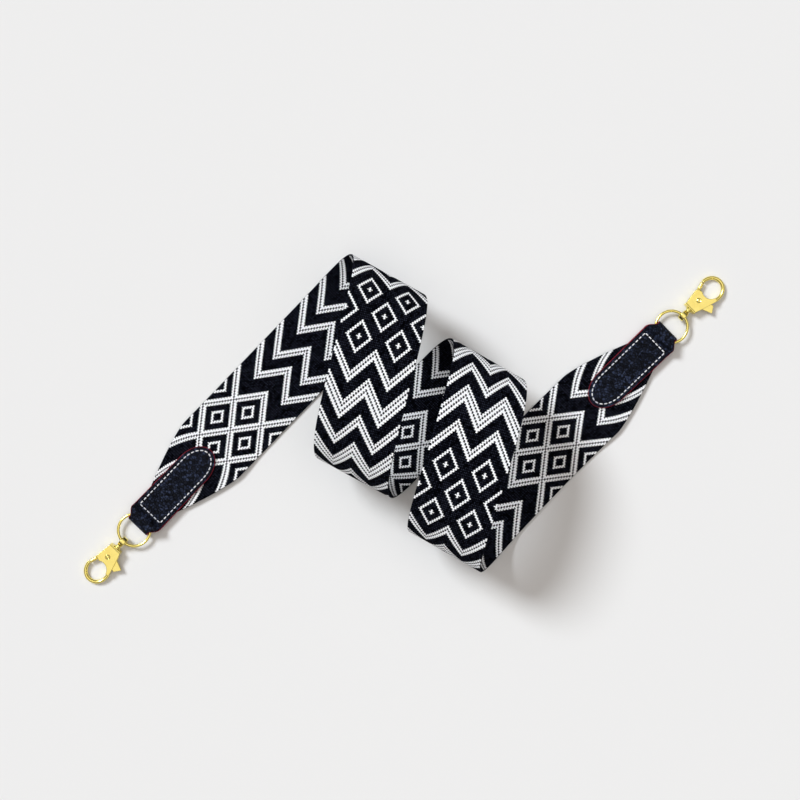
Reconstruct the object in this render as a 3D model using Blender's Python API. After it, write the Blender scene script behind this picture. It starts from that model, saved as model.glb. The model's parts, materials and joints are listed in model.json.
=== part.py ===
"""Wide bag strap of patterned webbing, wound in two upright loops on a table.

Lengths are in metres, headings in degrees anticlockwise from +X seen from above, and +Z is up.
The webbing is followed from its left end: a straight run along the table, a loop, a short run along
the table, a second loop and a run to the right end. Each end is gathered into a folded leather tab.
The tab's fold holds a round ring, and on the ring hangs a swivel clasp with a sprung gate.
"""

import math
from dataclasses import dataclass

import bmesh
import bpy
import numpy as np
from mathutils import Matrix, Vector

# Webbing, flat
STRAP_LENGTH = 0.9248
STRAP_WIDTH = 0.050
STRAP_THICKNESS = 0.0015
TAPER_RUN = 0.048
TAPER_POWER_SHARE = 1.3
TUCKED_WIDTH = 0.0205

# Webbing, as it lies: runs on the table, and the folds that lead up and over each loop
FIRST_HEADING = 46.1
LEFT_RUN = 0.1767
MIDDLE_RUN = 0.0339
CROWN_RUN = 0.0020
LAST_TURN = 3.2
LAST_TURN_RUN = 0.095
FOOT_ARC = 0.0557
LEFT_CROWN_ARC = 0.0813
RIGHT_CROWN_ARC = 0.0786
CROWN_POWER_SHARE = 1.5
LEFT_LOOP_FOLDS = (-28.95, -28.5)
RIGHT_LOOP_FOLDS = (-29.8, -29.7)
FOLD_ROWS = 20
PROFILE_STEPS = 2000

# Leather tab
LEATHER_THICKNESS = 0.0012
TAB_LENGTH = 0.0683
TAB_MIDDLE_WIDTH = 0.0230
TAB_SHOULDER_WIDTH = 0.0238
TAB_TIP_LENGTH = 0.0165
TAB_SHOULDER_PLACE = 0.0082
FOLD_WIDTH = 0.0162
NECK_LENGTH = 0.0020
HUMP_TOP_RUN = 0.0030
HUMP_RUN = 0.0036
WEBBING_BACK_FROM_FOLD = 0.0112
TAB_ROWS = 14

# Saddle stitching
THREAD_RADIUS = 0.0003
STITCH_LENGTH = 0.0030
STITCH_MARGIN = 0.0026
STITCH_BOX_FROM_FOLD = 0.0120
STITCH_SINK_SHARE = 0.6

# Ring
RING_RADIUS = 0.0102
RING_WIRE_RADIUS = 0.00095
RING_PAST_FOLD = 0.0029
RING_SWING = 40.0
RING_STEPS = 40
WIRE_SIDES = 10

# Swivel eye
EYE_RADIUS = 0.0032
EYE_HOLE_RADIUS = 0.00125
EYE_WIDTH = 0.0038
EYE_CHAMFER = 0.0005
NECK_RADIUS = 0.0017
POST_RADIUS = 0.00105
POST_HEAD_RADIUS = 0.0017
POST_HEAD_LENGTH = 0.0010

# Clasp, measured from the centre of the ring's wire: x along the clasp, y across it
LIP_START = 0.0058
LIP_LENGTH = 0.0009
LIP_OVERHANG = 0.0003
BODY_HALF_THICKNESS = 0.0023
BODY_CHAMFER = 0.0004
END_WALL = 0.0024
NEAR_GATE_SIDE = 0.0045
NEAR_THUMB_SIDE = 0.0038
BODY_LENGTH = 0.0122
FAR_GATE_SIDE = 0.00605
THUMB_EDGE_MID = (0.0119, 0.0057)
THUMB_EDGE_END = (0.0205, 0.00815)
THUMB_EDGE_FAR = (0.0226, 0.0083)
HOLE_SIDE = (0.0226, 0.0050)
GATE_SIDE_LEAN = 0.0205
LOOP_CENTRE = (0.0250, -0.0006)
LOOP_LENGTH_RADIUS = 0.0079
LOOP_WIDTH_RADIUS = 0.0073
LOOP_BAND_WIDTH = 0.0025
LOOP_BAND_HEIGHT = 0.0030
LOOP_START_ANGLE = -140.0
LOOP_END_ANGLE = 92.0
LOOP_HOLE_TRIM = 0.00005
LOOP_ROWS = 26
PIVOT = (0.0137, 0.0001)

# Gate lever and its slot
SLOT_HALF_HEIGHT = 0.00125
SLOT_START = 0.0093
SLOT_THUMB_END = 0.0187
SLOT_INNER_SIDE = 0.0034
LEVER_HALF_THICKNESS = 0.00115
LEVER_CHAMFER = 0.0002
HUB_RADIUS = 0.0026
GATE_WIDTH = 0.0023
GATE_ROOT = (0.01905, 0.0050)
GATE_OUTER_LENGTH = 0.0051
GATE_LEAN = 16.5
GATE_OPENING = 25.0
THUMB_NEAR = (0.0114, 0.0052)
THUMB_TIP = (0.0144, 0.0119)
THUMB_FAR = (0.0184, 0.0090)
THUMB_FAR_ROOT = (0.0173, 0.0040)

# Rivet pin and gate spring
PIN_RADIUS = 0.0009
PIN_HEAD_RADIUS = 0.0017
PIN_HEAD_HEIGHT = 0.0003
SPRING_COIL_RADIUS = 0.00145
SPRING_WIRE_RADIUS = 0.00015
SPRING_TURNS = 2.0
SPRING_END_GAP = 0.0001
SPRING_POCKET_RADIUS = 0.0019
SPRING_POCKET_FLOOR = 0.0002
SPRING_BACK_LEG = 0.0042
SPRING_GATE_LEG = 0.0026
SPRING_GROOVE_WIDTH = 0.0008

# Fits and cuts
SEAT_GAP = 0.0003
RUNNING_GAP = 0.0001
OVERRUN = 0.004

DEGREES_IN_HALF_TURN = 180.0


@dataclass
class Finish:
    """Colour, roughness and metallic value of one material."""

    colour: tuple
    roughness: float
    metallic: float = 0.0


FINISHES = {
    "webbing": Finish((0.055, 0.058, 0.085, 1.0), 0.85),
    "leather": Finish((0.012, 0.016, 0.036, 1.0), 0.55),
    "thread": Finish((0.85, 0.85, 0.86, 1.0), 0.70),
    "gold": Finish((0.90, 0.70, 0.22, 1.0), 0.22, 1.0),
    "spring_steel": Finish((0.60, 0.60, 0.62, 1.0), 0.35, 1.0),
}


def clear_scene():
    """Remove every object that the file opened with."""
    for obj in list(bpy.data.objects):
        bpy.data.objects.remove(obj, do_unlink=True)


def material(name):
    """The named finish as a Principled material."""
    made = bpy.data.materials.get(name)
    if made is None:
        finish = FINISHES[name]
        made = bpy.data.materials.new(name)
        made.use_nodes = True
        shader = made.node_tree.nodes["Principled BSDF"]
        shader.inputs["Base Color"].default_value = finish.colour
        shader.inputs["Roughness"].default_value = finish.roughness
        shader.inputs["Metallic"].default_value = finish.metallic
    return made


def add_object(name, mesh, parent=None, finish=None):
    """Link a mesh as one object, shade it smooth and give it its finish."""
    obj = bpy.data.objects.new(name, mesh)
    bpy.context.scene.collection.objects.link(obj)
    obj.parent = parent
    if finish:
        mesh.materials.append(material(finish))
        mesh.shade_smooth()
        mesh.set_sharp_from_angle(angle=math.radians(35.0))
    return obj


def add_empty(name, parent=None, location=(0, 0, 0), rotation=(0, 0, 0)):
    """Add an empty that carries pieces."""
    obj = bpy.data.objects.new(name, None)
    bpy.context.scene.collection.objects.link(obj)
    obj.parent = parent
    obj.location = location
    obj.rotation_euler = rotation
    return obj


def combine(target, helper, operation):
    """Join, cut or intersect target with a hidden helper."""
    helper.hide_render = True
    helper.display_type = "WIRE"
    step = target.modifiers.new(operation.lower(), "BOOLEAN")
    step.operation = operation
    step.solver = "EXACT"
    step.object = helper


def mesh_of(name, points, faces):
    """A mesh from points and faces, with its faces turned outward."""
    mesh = bpy.data.meshes.new(name)
    mesh.from_pydata([tuple(point) for point in points], [], faces)
    work = bmesh.new()
    work.from_mesh(mesh)
    bmesh.ops.recalc_face_normals(work, faces=work.faces)
    work.to_mesh(mesh)
    work.free()
    return mesh


def skin(name, rings, closed=False):
    """A mesh through rings of points, capped at its ends or joined into a loop."""
    sides = len(rings[0])
    points = [point for ring in rings for point in ring]
    faces = []
    for row in range(len(rings) if closed else len(rings) - 1):
        here, there = row * sides, (row + 1) % len(rings) * sides
        for side in range(sides):
            ahead = (side + 1) % sides
            faces.append((here + side, here + ahead, there + ahead, there + side))
    if not closed:
        faces.append(tuple(range(sides)))
        faces.append(tuple(range(len(points) - sides, len(points))))
    return mesh_of(name, points, faces)


def inset_outline(outline, depth):
    """The outline drawn in by depth, with mitred corners. It runs anticlockwise."""
    count = len(outline)
    inner = []
    for here in range(count):
        before = Vector(outline[here]) - Vector(outline[here - 1])
        after = Vector(outline[(here + 1) % count]) - Vector(outline[here])
        before.normalize()
        after.normalize()
        normal = Vector((-before.y - after.y, before.x + after.x)).normalized()
        lean = max(normal.dot(Vector((-before.y, before.x))), 0.4)
        inner.append(tuple(Vector(outline[here]) + normal * depth / lean))
    return inner


def plate(name, outline, low, high, chamfer=0.0):
    """A plate with the outline, from low to high, with chamfered rims."""
    levels = [(low, outline), (high, outline)]
    if chamfer:
        inner = inset_outline(outline, chamfer)
        levels = [(low, inner), (low + chamfer, outline), (high - chamfer, outline), (high, inner)]
    return skin(name, [[(x, y, z) for x, y in shape] for z, shape in levels])


def disc_outline(radius, centre=(0, 0), sides=24):
    """A circle as a list of points."""
    turn = 2 * math.pi / sides
    return [(centre[0] + radius * math.cos(i * turn), centre[1] + radius * math.sin(i * turn))
            for i in range(sides)]


def turned(name, profile, sides=20):
    """A solid of revolution about X, from (place, radius) pairs."""
    turn = 2 * math.pi / sides
    rings = [[(x, r * math.cos(i * turn), r * math.sin(i * turn)) for i in range(sides)]
             for x, r in profile]
    return skin(name, rings)


def wire_rings(path, radius, sides, closed=False):
    """Round sections along a path of points, with no twist from one to the next."""
    path = [Vector(point) for point in path]
    rings = []
    side = None
    for here, point in enumerate(path):
        ahead = path[(here + 1) % len(path)] if closed or here + 1 < len(path) else point
        behind = path[here - 1] if closed or here else point
        along = (ahead - behind).normalized()
        if side is None:
            side = along.orthogonal() if abs(along.z) > 0.9 else along.cross(Vector((0, 0, 1)))
        side = (side - along * side.dot(along)).normalized()
        other = along.cross(side)
        turns = [2 * math.pi * i / sides for i in range(sides)]
        rings.append([point + radius * (math.cos(a) * side + math.sin(a) * other) for a in turns])
    return rings


def heading_vector(degrees):
    """The plan direction of a heading."""
    angle = math.radians(degrees)
    return np.array([math.cos(angle), math.sin(angle)])


def smooth(value):
    """A share from 0 to 1, eased at both ends."""
    value = min(max(value, 0.0), 1.0)
    return value * value * (3 - 2 * value)


class Fold:
    """A half turn of the webbing about a level axis, from the table to a loop's crown or back.

    The lower quarter is round, and the upper one flattens steadily towards the crown.
    """

    def __init__(self, start, origin, along, across, axis_heading, crown_arc, rising, base):
        self.start, self.origin, self.along, self.across = start, origin, along, across
        self.axis = heading_vector(axis_heading)
        self.out = np.array([-self.axis[1], self.axis[0]])
        if self.out @ along < 0:
            self.out = -self.out
        self.arc = FOOT_ARC + crown_arc
        self.place, self.reach, self.height = self.profile(crown_arc, rising)
        self.base = base

    def profile(self, crown_arc, rising):
        """Arc lengths, and how far out and up the webbing is at each."""
        arcs = (np.arange(PROFILE_STEPS) + 0.5) * self.arc / PROFILE_STEPS
        left_over = np.clip((self.arc - arcs) / crown_arc, 0.0, 1.0)
        crown = math.pi - 0.5 * math.pi * left_over**CROWN_POWER_SHARE
        angle = np.where(arcs < FOOT_ARC, 0.5 * math.pi * arcs / FOOT_ARC, crown)
        step = self.arc / PROFILE_STEPS
        reach = np.concatenate([[0.0], np.cumsum(np.cos(angle)) * step])
        height = np.concatenate([[0.0], np.cumsum(np.sin(angle)) * step])
        if not rising:
            reach = reach[::-1] - reach[-1]
            height = height[::-1] - height[-1]
        return np.linspace(0.0, self.arc, PROFILE_STEPS + 1), reach, height

    def lean(self):
        """How far along the webbing a line across the fold runs for each unit across it."""
        return -(self.across @ self.out) / (self.along @ self.out)

    def length(self):
        """The webbing's length through the fold, along its middle."""
        return self.arc / (self.along @ self.out)

    def arc_at(self, s, u):
        """The arc length into the fold at a place on the flat webbing."""
        flat = (s - self.start) * self.along + u * self.across
        return flat @ self.out

    def point(self, s, u):
        """The point in space of a place on the flat webbing."""
        flat = (s - self.start) * self.along + u * self.across
        arc = flat @ self.out
        plan = self.origin + (flat @ self.axis) * self.axis
        plan = plan + np.interp(arc, self.place, self.reach) * self.out
        return np.array([*plan, self.base + np.interp(arc, self.place, self.height)])

    def after(self):
        """Start, origin, directions and height of the level stretch that follows."""
        start = self.start + self.length()
        plan = self.point(start, 0.0)
        along = (self.along @ self.axis) * self.axis - (self.along @ self.out) * self.out
        across = (self.across @ self.axis) * self.axis - (self.across @ self.out) * self.out
        return start, plan[:2], along, across, plan[2]


class Level:
    """A stretch of the webbing that lies level, and may turn gently in its own plane at first."""

    def __init__(self, start, origin, along, across, base, turn=0.0):
        self.start, self.origin, self.along, self.across = start, origin, along, across
        self.base = base
        self.turn = math.radians(turn)

    def point(self, s, u):
        """The point in space of a place on the flat webbing."""
        run = s - self.start
        if not self.turn:
            return np.array([*(self.origin + run * self.along + u * self.across), self.base])
        bent = min(run, LAST_TURN_RUN)
        angle = self.turn * bent / LAST_TURN_RUN
        radius = LAST_TURN_RUN / self.turn
        along = self.along * math.cos(angle) - self.across * math.sin(angle)
        across = self.across * math.cos(angle) + self.along * math.sin(angle)
        plan = self.origin + radius * math.sin(angle) * self.along + (run - bent) * along
        plan = plan - radius * (1 - math.cos(angle)) * self.across + u * across
        return np.array([*plan, self.base])


class Lay:
    """The webbing's way over the table, from its left end to its right end."""

    def __init__(self):
        self.stretches = []
        along = heading_vector(FIRST_HEADING)
        across = np.array([-along[1], along[0]])
        middle = STRAP_THICKNESS / 2
        end = (0.0, np.zeros(2), along, across, middle)
        folds = [(LEFT_RUN, LEFT_LOOP_FOLDS[0], LEFT_CROWN_ARC, True),
                 (CROWN_RUN, LEFT_LOOP_FOLDS[1], LEFT_CROWN_ARC, False),
                 (MIDDLE_RUN, RIGHT_LOOP_FOLDS[0], RIGHT_CROWN_ARC, True),
                 (CROWN_RUN, RIGHT_LOOP_FOLDS[1], RIGHT_CROWN_ARC, False)]
        for run, axis_heading, crown_arc, rising in folds:
            start, origin, along, across, base = end
            self.stretches.append(Level(start, origin, along, across, base))
            fold = Fold(start + run, origin + run * along, along, across, axis_heading, crown_arc,
                        rising, base)
            self.stretches.append(fold)
            end = fold.after()
        self.stretches.append(Level(*end, LAST_TURN))

    def folds(self):
        """The folds in order."""
        return self.stretches[1::2]

    def taper(self, s):
        """The share of its full width that the webbing has, and its lift, at a place along it."""
        from_end = min(s, STRAP_LENGTH - s)
        in_tab = TAB_LENGTH - WEBBING_BACK_FROM_FOLD
        start = in_tab + SEAT_GAP
        gone = min(max((start - from_end) / TAPER_RUN, 0.0), 1.0) ** TAPER_POWER_SHARE
        width = 1 - gone * (1 - TUCKED_WIDTH / STRAP_WIDTH)
        rise = 1 - smooth((from_end - in_tab - SEAT_GAP) / (TAPER_RUN / 2))
        return width, rise * (LEATHER_THICKNESS + SEAT_GAP)

    def point(self, s, u):
        """The point in space of the middle of the webbing's thickness."""
        share, lift = self.taper(s)
        u = u * share
        for index, stretch in enumerate(self.stretches):
            if isinstance(stretch, Fold):
                arc = stretch.arc_at(s, u)
                if arc < 0:
                    return self.stretches[index - 1].point(s, u) + np.array([0.0, 0.0, lift])
                if arc <= stretch.arc:
                    return stretch.point(s, u)
        return self.stretches[-1].point(s, u) + np.array([0.0, 0.0, lift])

    def face(self, s, u):
        """The direction that the webbing's face looks in."""
        step = STRAP_THICKNESS / 10
        along = self.point(s + step, u) - self.point(s - step, u)
        across = self.point(s, u + step) - self.point(s, u - step)
        normal = np.cross(along, across)
        return normal / np.linalg.norm(normal)

    def rows(self):
        """Lines across the webbing, each a place along its middle and a lean."""
        in_tab = TAB_LENGTH - WEBBING_BACK_FROM_FOLD
        ends = np.linspace(0.0, in_tab + TAPER_RUN / 2, TAB_ROWS)
        rows = [(place, 0.0) for place in ends]
        for fold in self.folds():
            arcs = np.linspace(0.0, fold.arc, FOLD_ROWS)
            rows += [(fold.start + arc / fold.arc * fold.length(), fold.lean()) for arc in arcs]
        rows += [(STRAP_LENGTH - place, 0.0) for place in ends[::-1]]
        return rows

    def end_frame(self, right):
        """Plan place and outward heading of the tab's fold edge at one end."""
        s = STRAP_LENGTH if right else 0.0
        step = STRAP_THICKNESS
        inner = s - step if right else s + step
        outward = self.point(s, 0.0)[:2] - self.point(inner, 0.0)[:2]
        outward = outward / np.linalg.norm(outward)
        place = self.point(s, 0.0)[:2] + WEBBING_BACK_FROM_FOLD * outward
        return place, math.atan2(outward[1], outward[0])


def make_webbing(lay, parent):
    """The patterned band, one solid from end to end."""
    rings = []
    half = STRAP_WIDTH / 2
    for middle, lean in lay.rows():
        left, right = (middle + lean * half, half), (middle - lean * half, -half)
        ring = []
        for (s, u), side in ((left, 0.5), (right, 0.5), (right, -0.5), (left, -0.5)):
            ring.append(lay.point(s, u) + side * STRAP_THICKNESS * lay.face(s, u))
        rings.append(ring)
    return add_object("webbing", skin("webbing", rings), parent, "webbing")


def ring_height():
    """Height of the ring's wire above the table: it lies in the middle of the leather's fold."""
    sweep = (RING_RADIUS - RING_PAST_FOLD - NECK_LENGTH) / 2 * math.sin(math.radians(RING_SWING))
    return LEATHER_THICKNESS + sweep + RING_WIRE_RADIUS + RUNNING_GAP


def clasp_pitch():
    """How far the clasp dips from the ring, so that the end of its bow rests on the table."""
    drop = ring_height() - LOOP_BAND_HEIGHT / 2
    return math.asin(drop / (LOOP_CENTRE[0] + LOOP_LENGTH_RADIUS))


def ring_axis_place():
    """Place of the ring's swing axis: the middle of the wire that lies in the fold."""
    deepest = RING_PAST_FOLD - RING_RADIUS
    return (deepest - NECK_LENGTH) / 2


def tab_outline():
    """The tab seen from above, from its fold edge to its rounded tip and back."""
    fold, shoulder, middle = FOLD_WIDTH / 2, TAB_SHOULDER_WIDTH / 2, TAB_MIDDLE_WIDTH / 2
    side = [(0.0, fold), (-NECK_LENGTH, fold)]
    flare = TAB_SHOULDER_PLACE - NECK_LENGTH
    for share in (0.3, 0.55, 0.8):
        side.append((-NECK_LENGTH - share * flare, fold + smooth(share) * (shoulder - fold)))
    side.append((-TAB_SHOULDER_PLACE, shoulder))
    tip_start = -TAB_LENGTH + TAB_TIP_LENGTH
    side.append((tip_start, middle))
    for degrees in range(15, 90, 15):
        angle = math.radians(degrees)
        side.append((tip_start - TAB_TIP_LENGTH * math.sin(angle), middle * math.cos(angle)))
    tip = [(-TAB_LENGTH, 0.0)]
    return side + tip + [(x, -y) for x, y in reversed(side)]


def tab_section():
    """The folded leather seen from the side: the lower ply, the fold and the upper ply."""
    high = 2 * ring_height()
    flat_top = 2 * LEATHER_THICKNESS + 2 * SEAT_GAP + STRAP_THICKNESS
    centre = -high / 2
    fall = centre - HUMP_TOP_RUN
    outer, inner = [(-TAB_LENGTH - OVERRUN, 0.0)], []
    for degrees in range(-90, 91, 15):
        angle = math.radians(degrees)
        radius, small = high / 2, high / 2 - LEATHER_THICKNESS
        outer.append((centre + radius * math.cos(angle), radius + radius * math.sin(angle)))
        inner.append((centre + small * math.cos(angle), radius + small * math.sin(angle)))
    for share in (0.0, 0.2, 0.4, 0.6, 0.8, 1.0):
        place = fall - share * HUMP_RUN
        drop = smooth(share) * (high - flat_top)
        outer.append((place, high - drop))
        inner.append((place, high - LEATHER_THICKNESS - drop))
    outer.append((-TAB_LENGTH - OVERRUN, flat_top))
    inner.append((-TAB_LENGTH - OVERRUN, flat_top - LEATHER_THICKNESS))
    return outer + inner[::-1] + [(-TAB_LENGTH - OVERRUN, LEATHER_THICKNESS)]


def make_tab(side, frame):
    """The folded leather tab."""
    half = TAB_SHOULDER_WIDTH / 2 + OVERRUN
    section = tab_section()
    rings = [[(x, y, z) for x, z in section] for y in (-half, half)]
    tab = add_object(side + "_leather_tab", skin(side + "_tab", rings), frame, "leather")
    outline = plate(side + "_tab_outline", tab_outline(), -OVERRUN, 2 * ring_height() + OVERRUN)
    combine(tab, add_object(side + "_tab_outline", outline, frame), "INTERSECT")
    return tab


def stitch_line():
    """The closed line of stitches on the tab's upper ply."""
    half = TAB_MIDDLE_WIDTH / 2 - STITCH_MARGIN
    tip_start = -TAB_LENGTH + TAB_TIP_LENGTH
    tip = TAB_TIP_LENGTH - STITCH_MARGIN
    line = [(-STITCH_BOX_FROM_FOLD, -half), (-STITCH_BOX_FROM_FOLD, half), (tip_start, half)]
    for degrees in range(10, 180, 10):
        angle = math.radians(degrees)
        line.append((tip_start - tip * math.sin(angle), half * math.cos(angle)))
    return line + [(tip_start, -half)]


def make_stitching(side, frame):
    """The thread of the saddle stitch, which dips towards the leather between stitches."""
    corners = [Vector(point) for point in stitch_line()]
    top = 2 * LEATHER_THICKNESS + 2 * SEAT_GAP + STRAP_THICKNESS
    low = top + SEAT_GAP + THREAD_RADIUS
    path = []
    for here, corner in enumerate(corners):
        leg = corners[(here + 1) % len(corners)] - corner
        stitches = max(1, round(leg.length / STITCH_LENGTH))
        for step in range(2 * stitches):
            place = corner + leg * step / (2 * stitches)
            rise = THREAD_RADIUS * STITCH_SINK_SHARE * (step % 2)
            path.append((place.x, place.y, low + rise))
    mesh = skin(side + "_stitching", wire_rings(path, THREAD_RADIUS, 4, True), True)
    return add_object(side + "_stitching", mesh, frame, "thread")


def make_ring(side, frame):
    """The round ring, with its origin on its swing axis in the leather's fold."""
    centre = RING_PAST_FOLD - ring_axis_place()
    steps = [2 * math.pi * i / RING_STEPS for i in range(RING_STEPS)]
    path = [(centre + RING_RADIUS * math.cos(a), RING_RADIUS * math.sin(a), 0.0) for a in steps]
    mesh = skin(side + "_ring", wire_rings(path, RING_WIRE_RADIUS, WIRE_SIDES, True), True)
    ring = add_object(side + "_ring", mesh, frame, "gold")
    ring.location = (ring_axis_place(), 0.0, ring_height())
    return ring


def make_eye(side, clasp):
    """The swivel eye round the ring's wire, its neck, and the headed post that the hook turns on."""
    outer = plate(side + "_eye", disc_outline(EYE_RADIUS), -EYE_WIDTH / 2, EYE_WIDTH / 2, EYE_CHAMFER)
    outer.transform(Matrix.Rotation(math.pi / 2, 4, "X"))
    eye = add_object(side + "_swivel_eye", outer, clasp, "gold")
    wall_end = LIP_START + END_WALL
    head = wall_end + RUNNING_GAP
    neck_end = LIP_START - RUNNING_GAP
    stem = [(EYE_RADIUS - EYE_HOLE_RADIUS / 2, NECK_RADIUS), (neck_end, NECK_RADIUS),
            (neck_end, POST_RADIUS), (head, POST_RADIUS), (head, POST_HEAD_RADIUS),
            (head + POST_HEAD_LENGTH, POST_HEAD_RADIUS)]
    combine(eye, add_object(side + "_stem", turned(side + "_stem", stem), clasp), "UNION")
    hole = plate(side + "_eye_hole", disc_outline(EYE_HOLE_RADIUS), -EYE_WIDTH, EYE_WIDTH)
    hole.transform(Matrix.Rotation(math.pi / 2, 4, "X"))
    combine(eye, add_object(side + "_eye_hole", hole, clasp), "DIFFERENCE")
    return eye


def body_outline():
    """The hook's flat body seen from above, with its gate side at +Y. Its far edge is cut by the bow."""
    near = LIP_START + LIP_LENGTH / 2
    far = LIP_START + BODY_LENGTH
    return [(near, -NEAR_THUMB_SIDE), (THUMB_EDGE_MID[0], -THUMB_EDGE_MID[1]),
            (THUMB_EDGE_END[0], -THUMB_EDGE_END[1]), (THUMB_EDGE_FAR[0], -THUMB_EDGE_FAR[1]),
            (HOLE_SIDE[0], -HOLE_SIDE[1]), (GATE_SIDE_LEAN, 0.0), (far, FAR_GATE_SIDE),
            (near, NEAR_GATE_SIDE)]


def make_bow():
    """The hook's round bow, which runs from the body's thumb side round to the gate."""
    rings = []
    for row in range(LOOP_ROWS):
        share = row / (LOOP_ROWS - 1)
        angle = math.radians(LOOP_START_ANGLE + share * (LOOP_END_ANGLE - LOOP_START_ANGLE))
        centre = Vector((LOOP_CENTRE[0] + LOOP_LENGTH_RADIUS * math.cos(angle),
                         LOOP_CENTRE[1] + LOOP_WIDTH_RADIUS * math.sin(angle), 0.0))
        out = Vector((LOOP_WIDTH_RADIUS * math.cos(angle), LOOP_LENGTH_RADIUS * math.sin(angle), 0.0))
        out.normalize()
        up = Vector((0.0, 0.0, LOOP_BAND_HEIGHT / 2))
        across = out * LOOP_BAND_WIDTH / 2
        rings.append([centre + across * x + up * y for x, y in disc_outline(1.0, (0, 0), 12)])
    return skin("bow", rings)


def slot_outline():
    """The slot that the lever swings in: open to both sides, closed towards the swivel."""
    far = LIP_START + BODY_LENGTH + OVERRUN
    wide = FAR_GATE_SIDE + OVERRUN
    return [(SLOT_START, -wide), (SLOT_THUMB_END, -wide), (SLOT_THUMB_END, -SLOT_INNER_SIDE),
            (far, -SLOT_INNER_SIDE / 2), (far, wide), (SLOT_START, wide)]


def bow_hole_outline():
    """The clear inside of the bow."""
    long = LOOP_LENGTH_RADIUS - LOOP_BAND_WIDTH / 2 - LOOP_HOLE_TRIM
    wide = LOOP_WIDTH_RADIUS - LOOP_BAND_WIDTH / 2 - LOOP_HOLE_TRIM
    return [(LOOP_CENTRE[0] + x * long, LOOP_CENTRE[1] + y * wide)
            for x, y in disc_outline(1.0, (0, 0), 48)]


def bore_profile():
    """The swivel post's bore and the pocket for its head, about the clasp's axis."""
    wall_end = LIP_START + END_WALL
    bore, pocket = POST_RADIUS + RUNNING_GAP, POST_HEAD_RADIUS + RUNNING_GAP
    return [(LIP_START - OVERRUN, bore), (wall_end, bore), (wall_end, pocket),
            (SLOT_START + SEAT_GAP, pocket)]


def make_hook(side, clasp):
    """The hook: a flat forked body with a lip at the swivel end and a round bow."""
    thick = BODY_HALF_THICKNESS
    deep = thick + OVERRUN
    body = plate(side + "_hook", body_outline(), -thick, thick, BODY_CHAMFER)
    hook = add_object(side + "_hook_body", body, clasp, "gold")
    lip_far = LIP_START + LIP_LENGTH
    low, high = -NEAR_THUMB_SIDE - LIP_OVERHANG, NEAR_GATE_SIDE + LIP_OVERHANG
    lip_outline = [(LIP_START, low), (lip_far, low), (lip_far, high), (LIP_START, high)]
    lip_half = thick + LIP_OVERHANG
    pin_hole = disc_outline(PIN_RADIUS + RUNNING_GAP, PIVOT, 16)
    slot = SLOT_HALF_HEIGHT
    steps = [("_lip", plate(side, lip_outline, -lip_half, lip_half, LIP_LENGTH / 4), "UNION"),
             ("_bow_hole", plate(side, bow_hole_outline(), -deep, deep), "DIFFERENCE"),
             ("_bow", make_bow(), "UNION"),
             ("_slot", plate(side, slot_outline(), -slot, slot), "DIFFERENCE"),
             ("_bore", turned(side, bore_profile()), "DIFFERENCE"),
             ("_pin_hole", plate(side, pin_hole, -deep, deep), "DIFFERENCE")]
    for name, mesh, operation in steps:
        combine(hook, add_object(side + name, mesh, clasp), operation)
    return hook


def lever_outline():
    """The gate, the hub round the pin and the thumb piece, about the pin."""
    lean = math.radians(GATE_LEAN)
    along = Vector((math.cos(lean), math.sin(lean)))
    across = Vector((-math.sin(lean), math.cos(lean))) * GATE_WIDTH / 2
    pivot, root = Vector(PIVOT), Vector(GATE_ROOT)
    tip = root + along * GATE_OUTER_LENGTH
    arm = [Vector((THUMB_FAR_ROOT[0], -THUMB_FAR_ROOT[1])), pivot + Vector((HUB_RADIUS, 0.0)),
           root - across, tip - across, tip + across, root + across, pivot + Vector((0.0, HUB_RADIUS)),
           pivot + Vector((-HUB_RADIUS, HUB_RADIUS)) * math.sqrt(0.5), pivot + Vector((-HUB_RADIUS, 0.0))]
    thumb = [Vector((THUMB_NEAR[0], -THUMB_NEAR[1])), Vector((THUMB_TIP[0], -THUMB_TIP[1])),
             Vector((THUMB_FAR[0], -THUMB_FAR[1]))]
    return [tuple(point - pivot) for point in arm + thumb]


def opened(x, y):
    """Where a point of the hook, given about the pin, lies on the lever when the gate is fully open."""
    return tuple(Matrix.Rotation(math.radians(GATE_OPENING), 2) @ Vector((x, y)))


def make_lever(side, clasp):
    """The lever, which is the gate at one end and the thumb piece at the other."""
    thick = LEVER_HALF_THICKNESS
    deep = thick + OVERRUN
    mesh = plate(side + "_lever", lever_outline(), -thick, thick, LEVER_CHAMFER)
    lever = add_object(side + "_gate_lever", mesh, clasp, "gold")
    lever.location = (*PIVOT, 0.0)
    floor = -SPRING_POCKET_FLOOR
    low, high = SPRING_COIL_RADIUS - SPRING_GROOVE_WIDTH / 2, SPRING_COIL_RADIUS + SPRING_GROOVE_WIDTH / 2
    back, ahead = -HUB_RADIUS - OVERRUN, SPRING_GATE_LEG + SEAT_GAP
    pin_hole = disc_outline(PIN_RADIUS + RUNNING_GAP, (0, 0), 16)
    pocket = disc_outline(SPRING_POCKET_RADIUS, (0, 0), 20)
    back_groove = [opened(back, low), (0.0, low), (0.0, high), (back, high), opened(back, high)]
    gate_groove = [(0.0, low), (ahead, low), (ahead, high), opened(ahead, high), opened(0.0, high)]
    cuts = [("_lever_hole", plate(side, pin_hole, -deep, deep)),
            ("_spring_pocket", plate(side, pocket, floor, deep)),
            ("_back_leg_groove", plate(side, back_groove, floor, deep)),
            ("_gate_leg_groove", plate(side, gate_groove, floor, deep))]
    for name, cut in cuts:
        helper = add_object(side + name, cut, clasp)
        helper.location = lever.location
        combine(lever, helper, "DIFFERENCE")
    return lever


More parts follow.
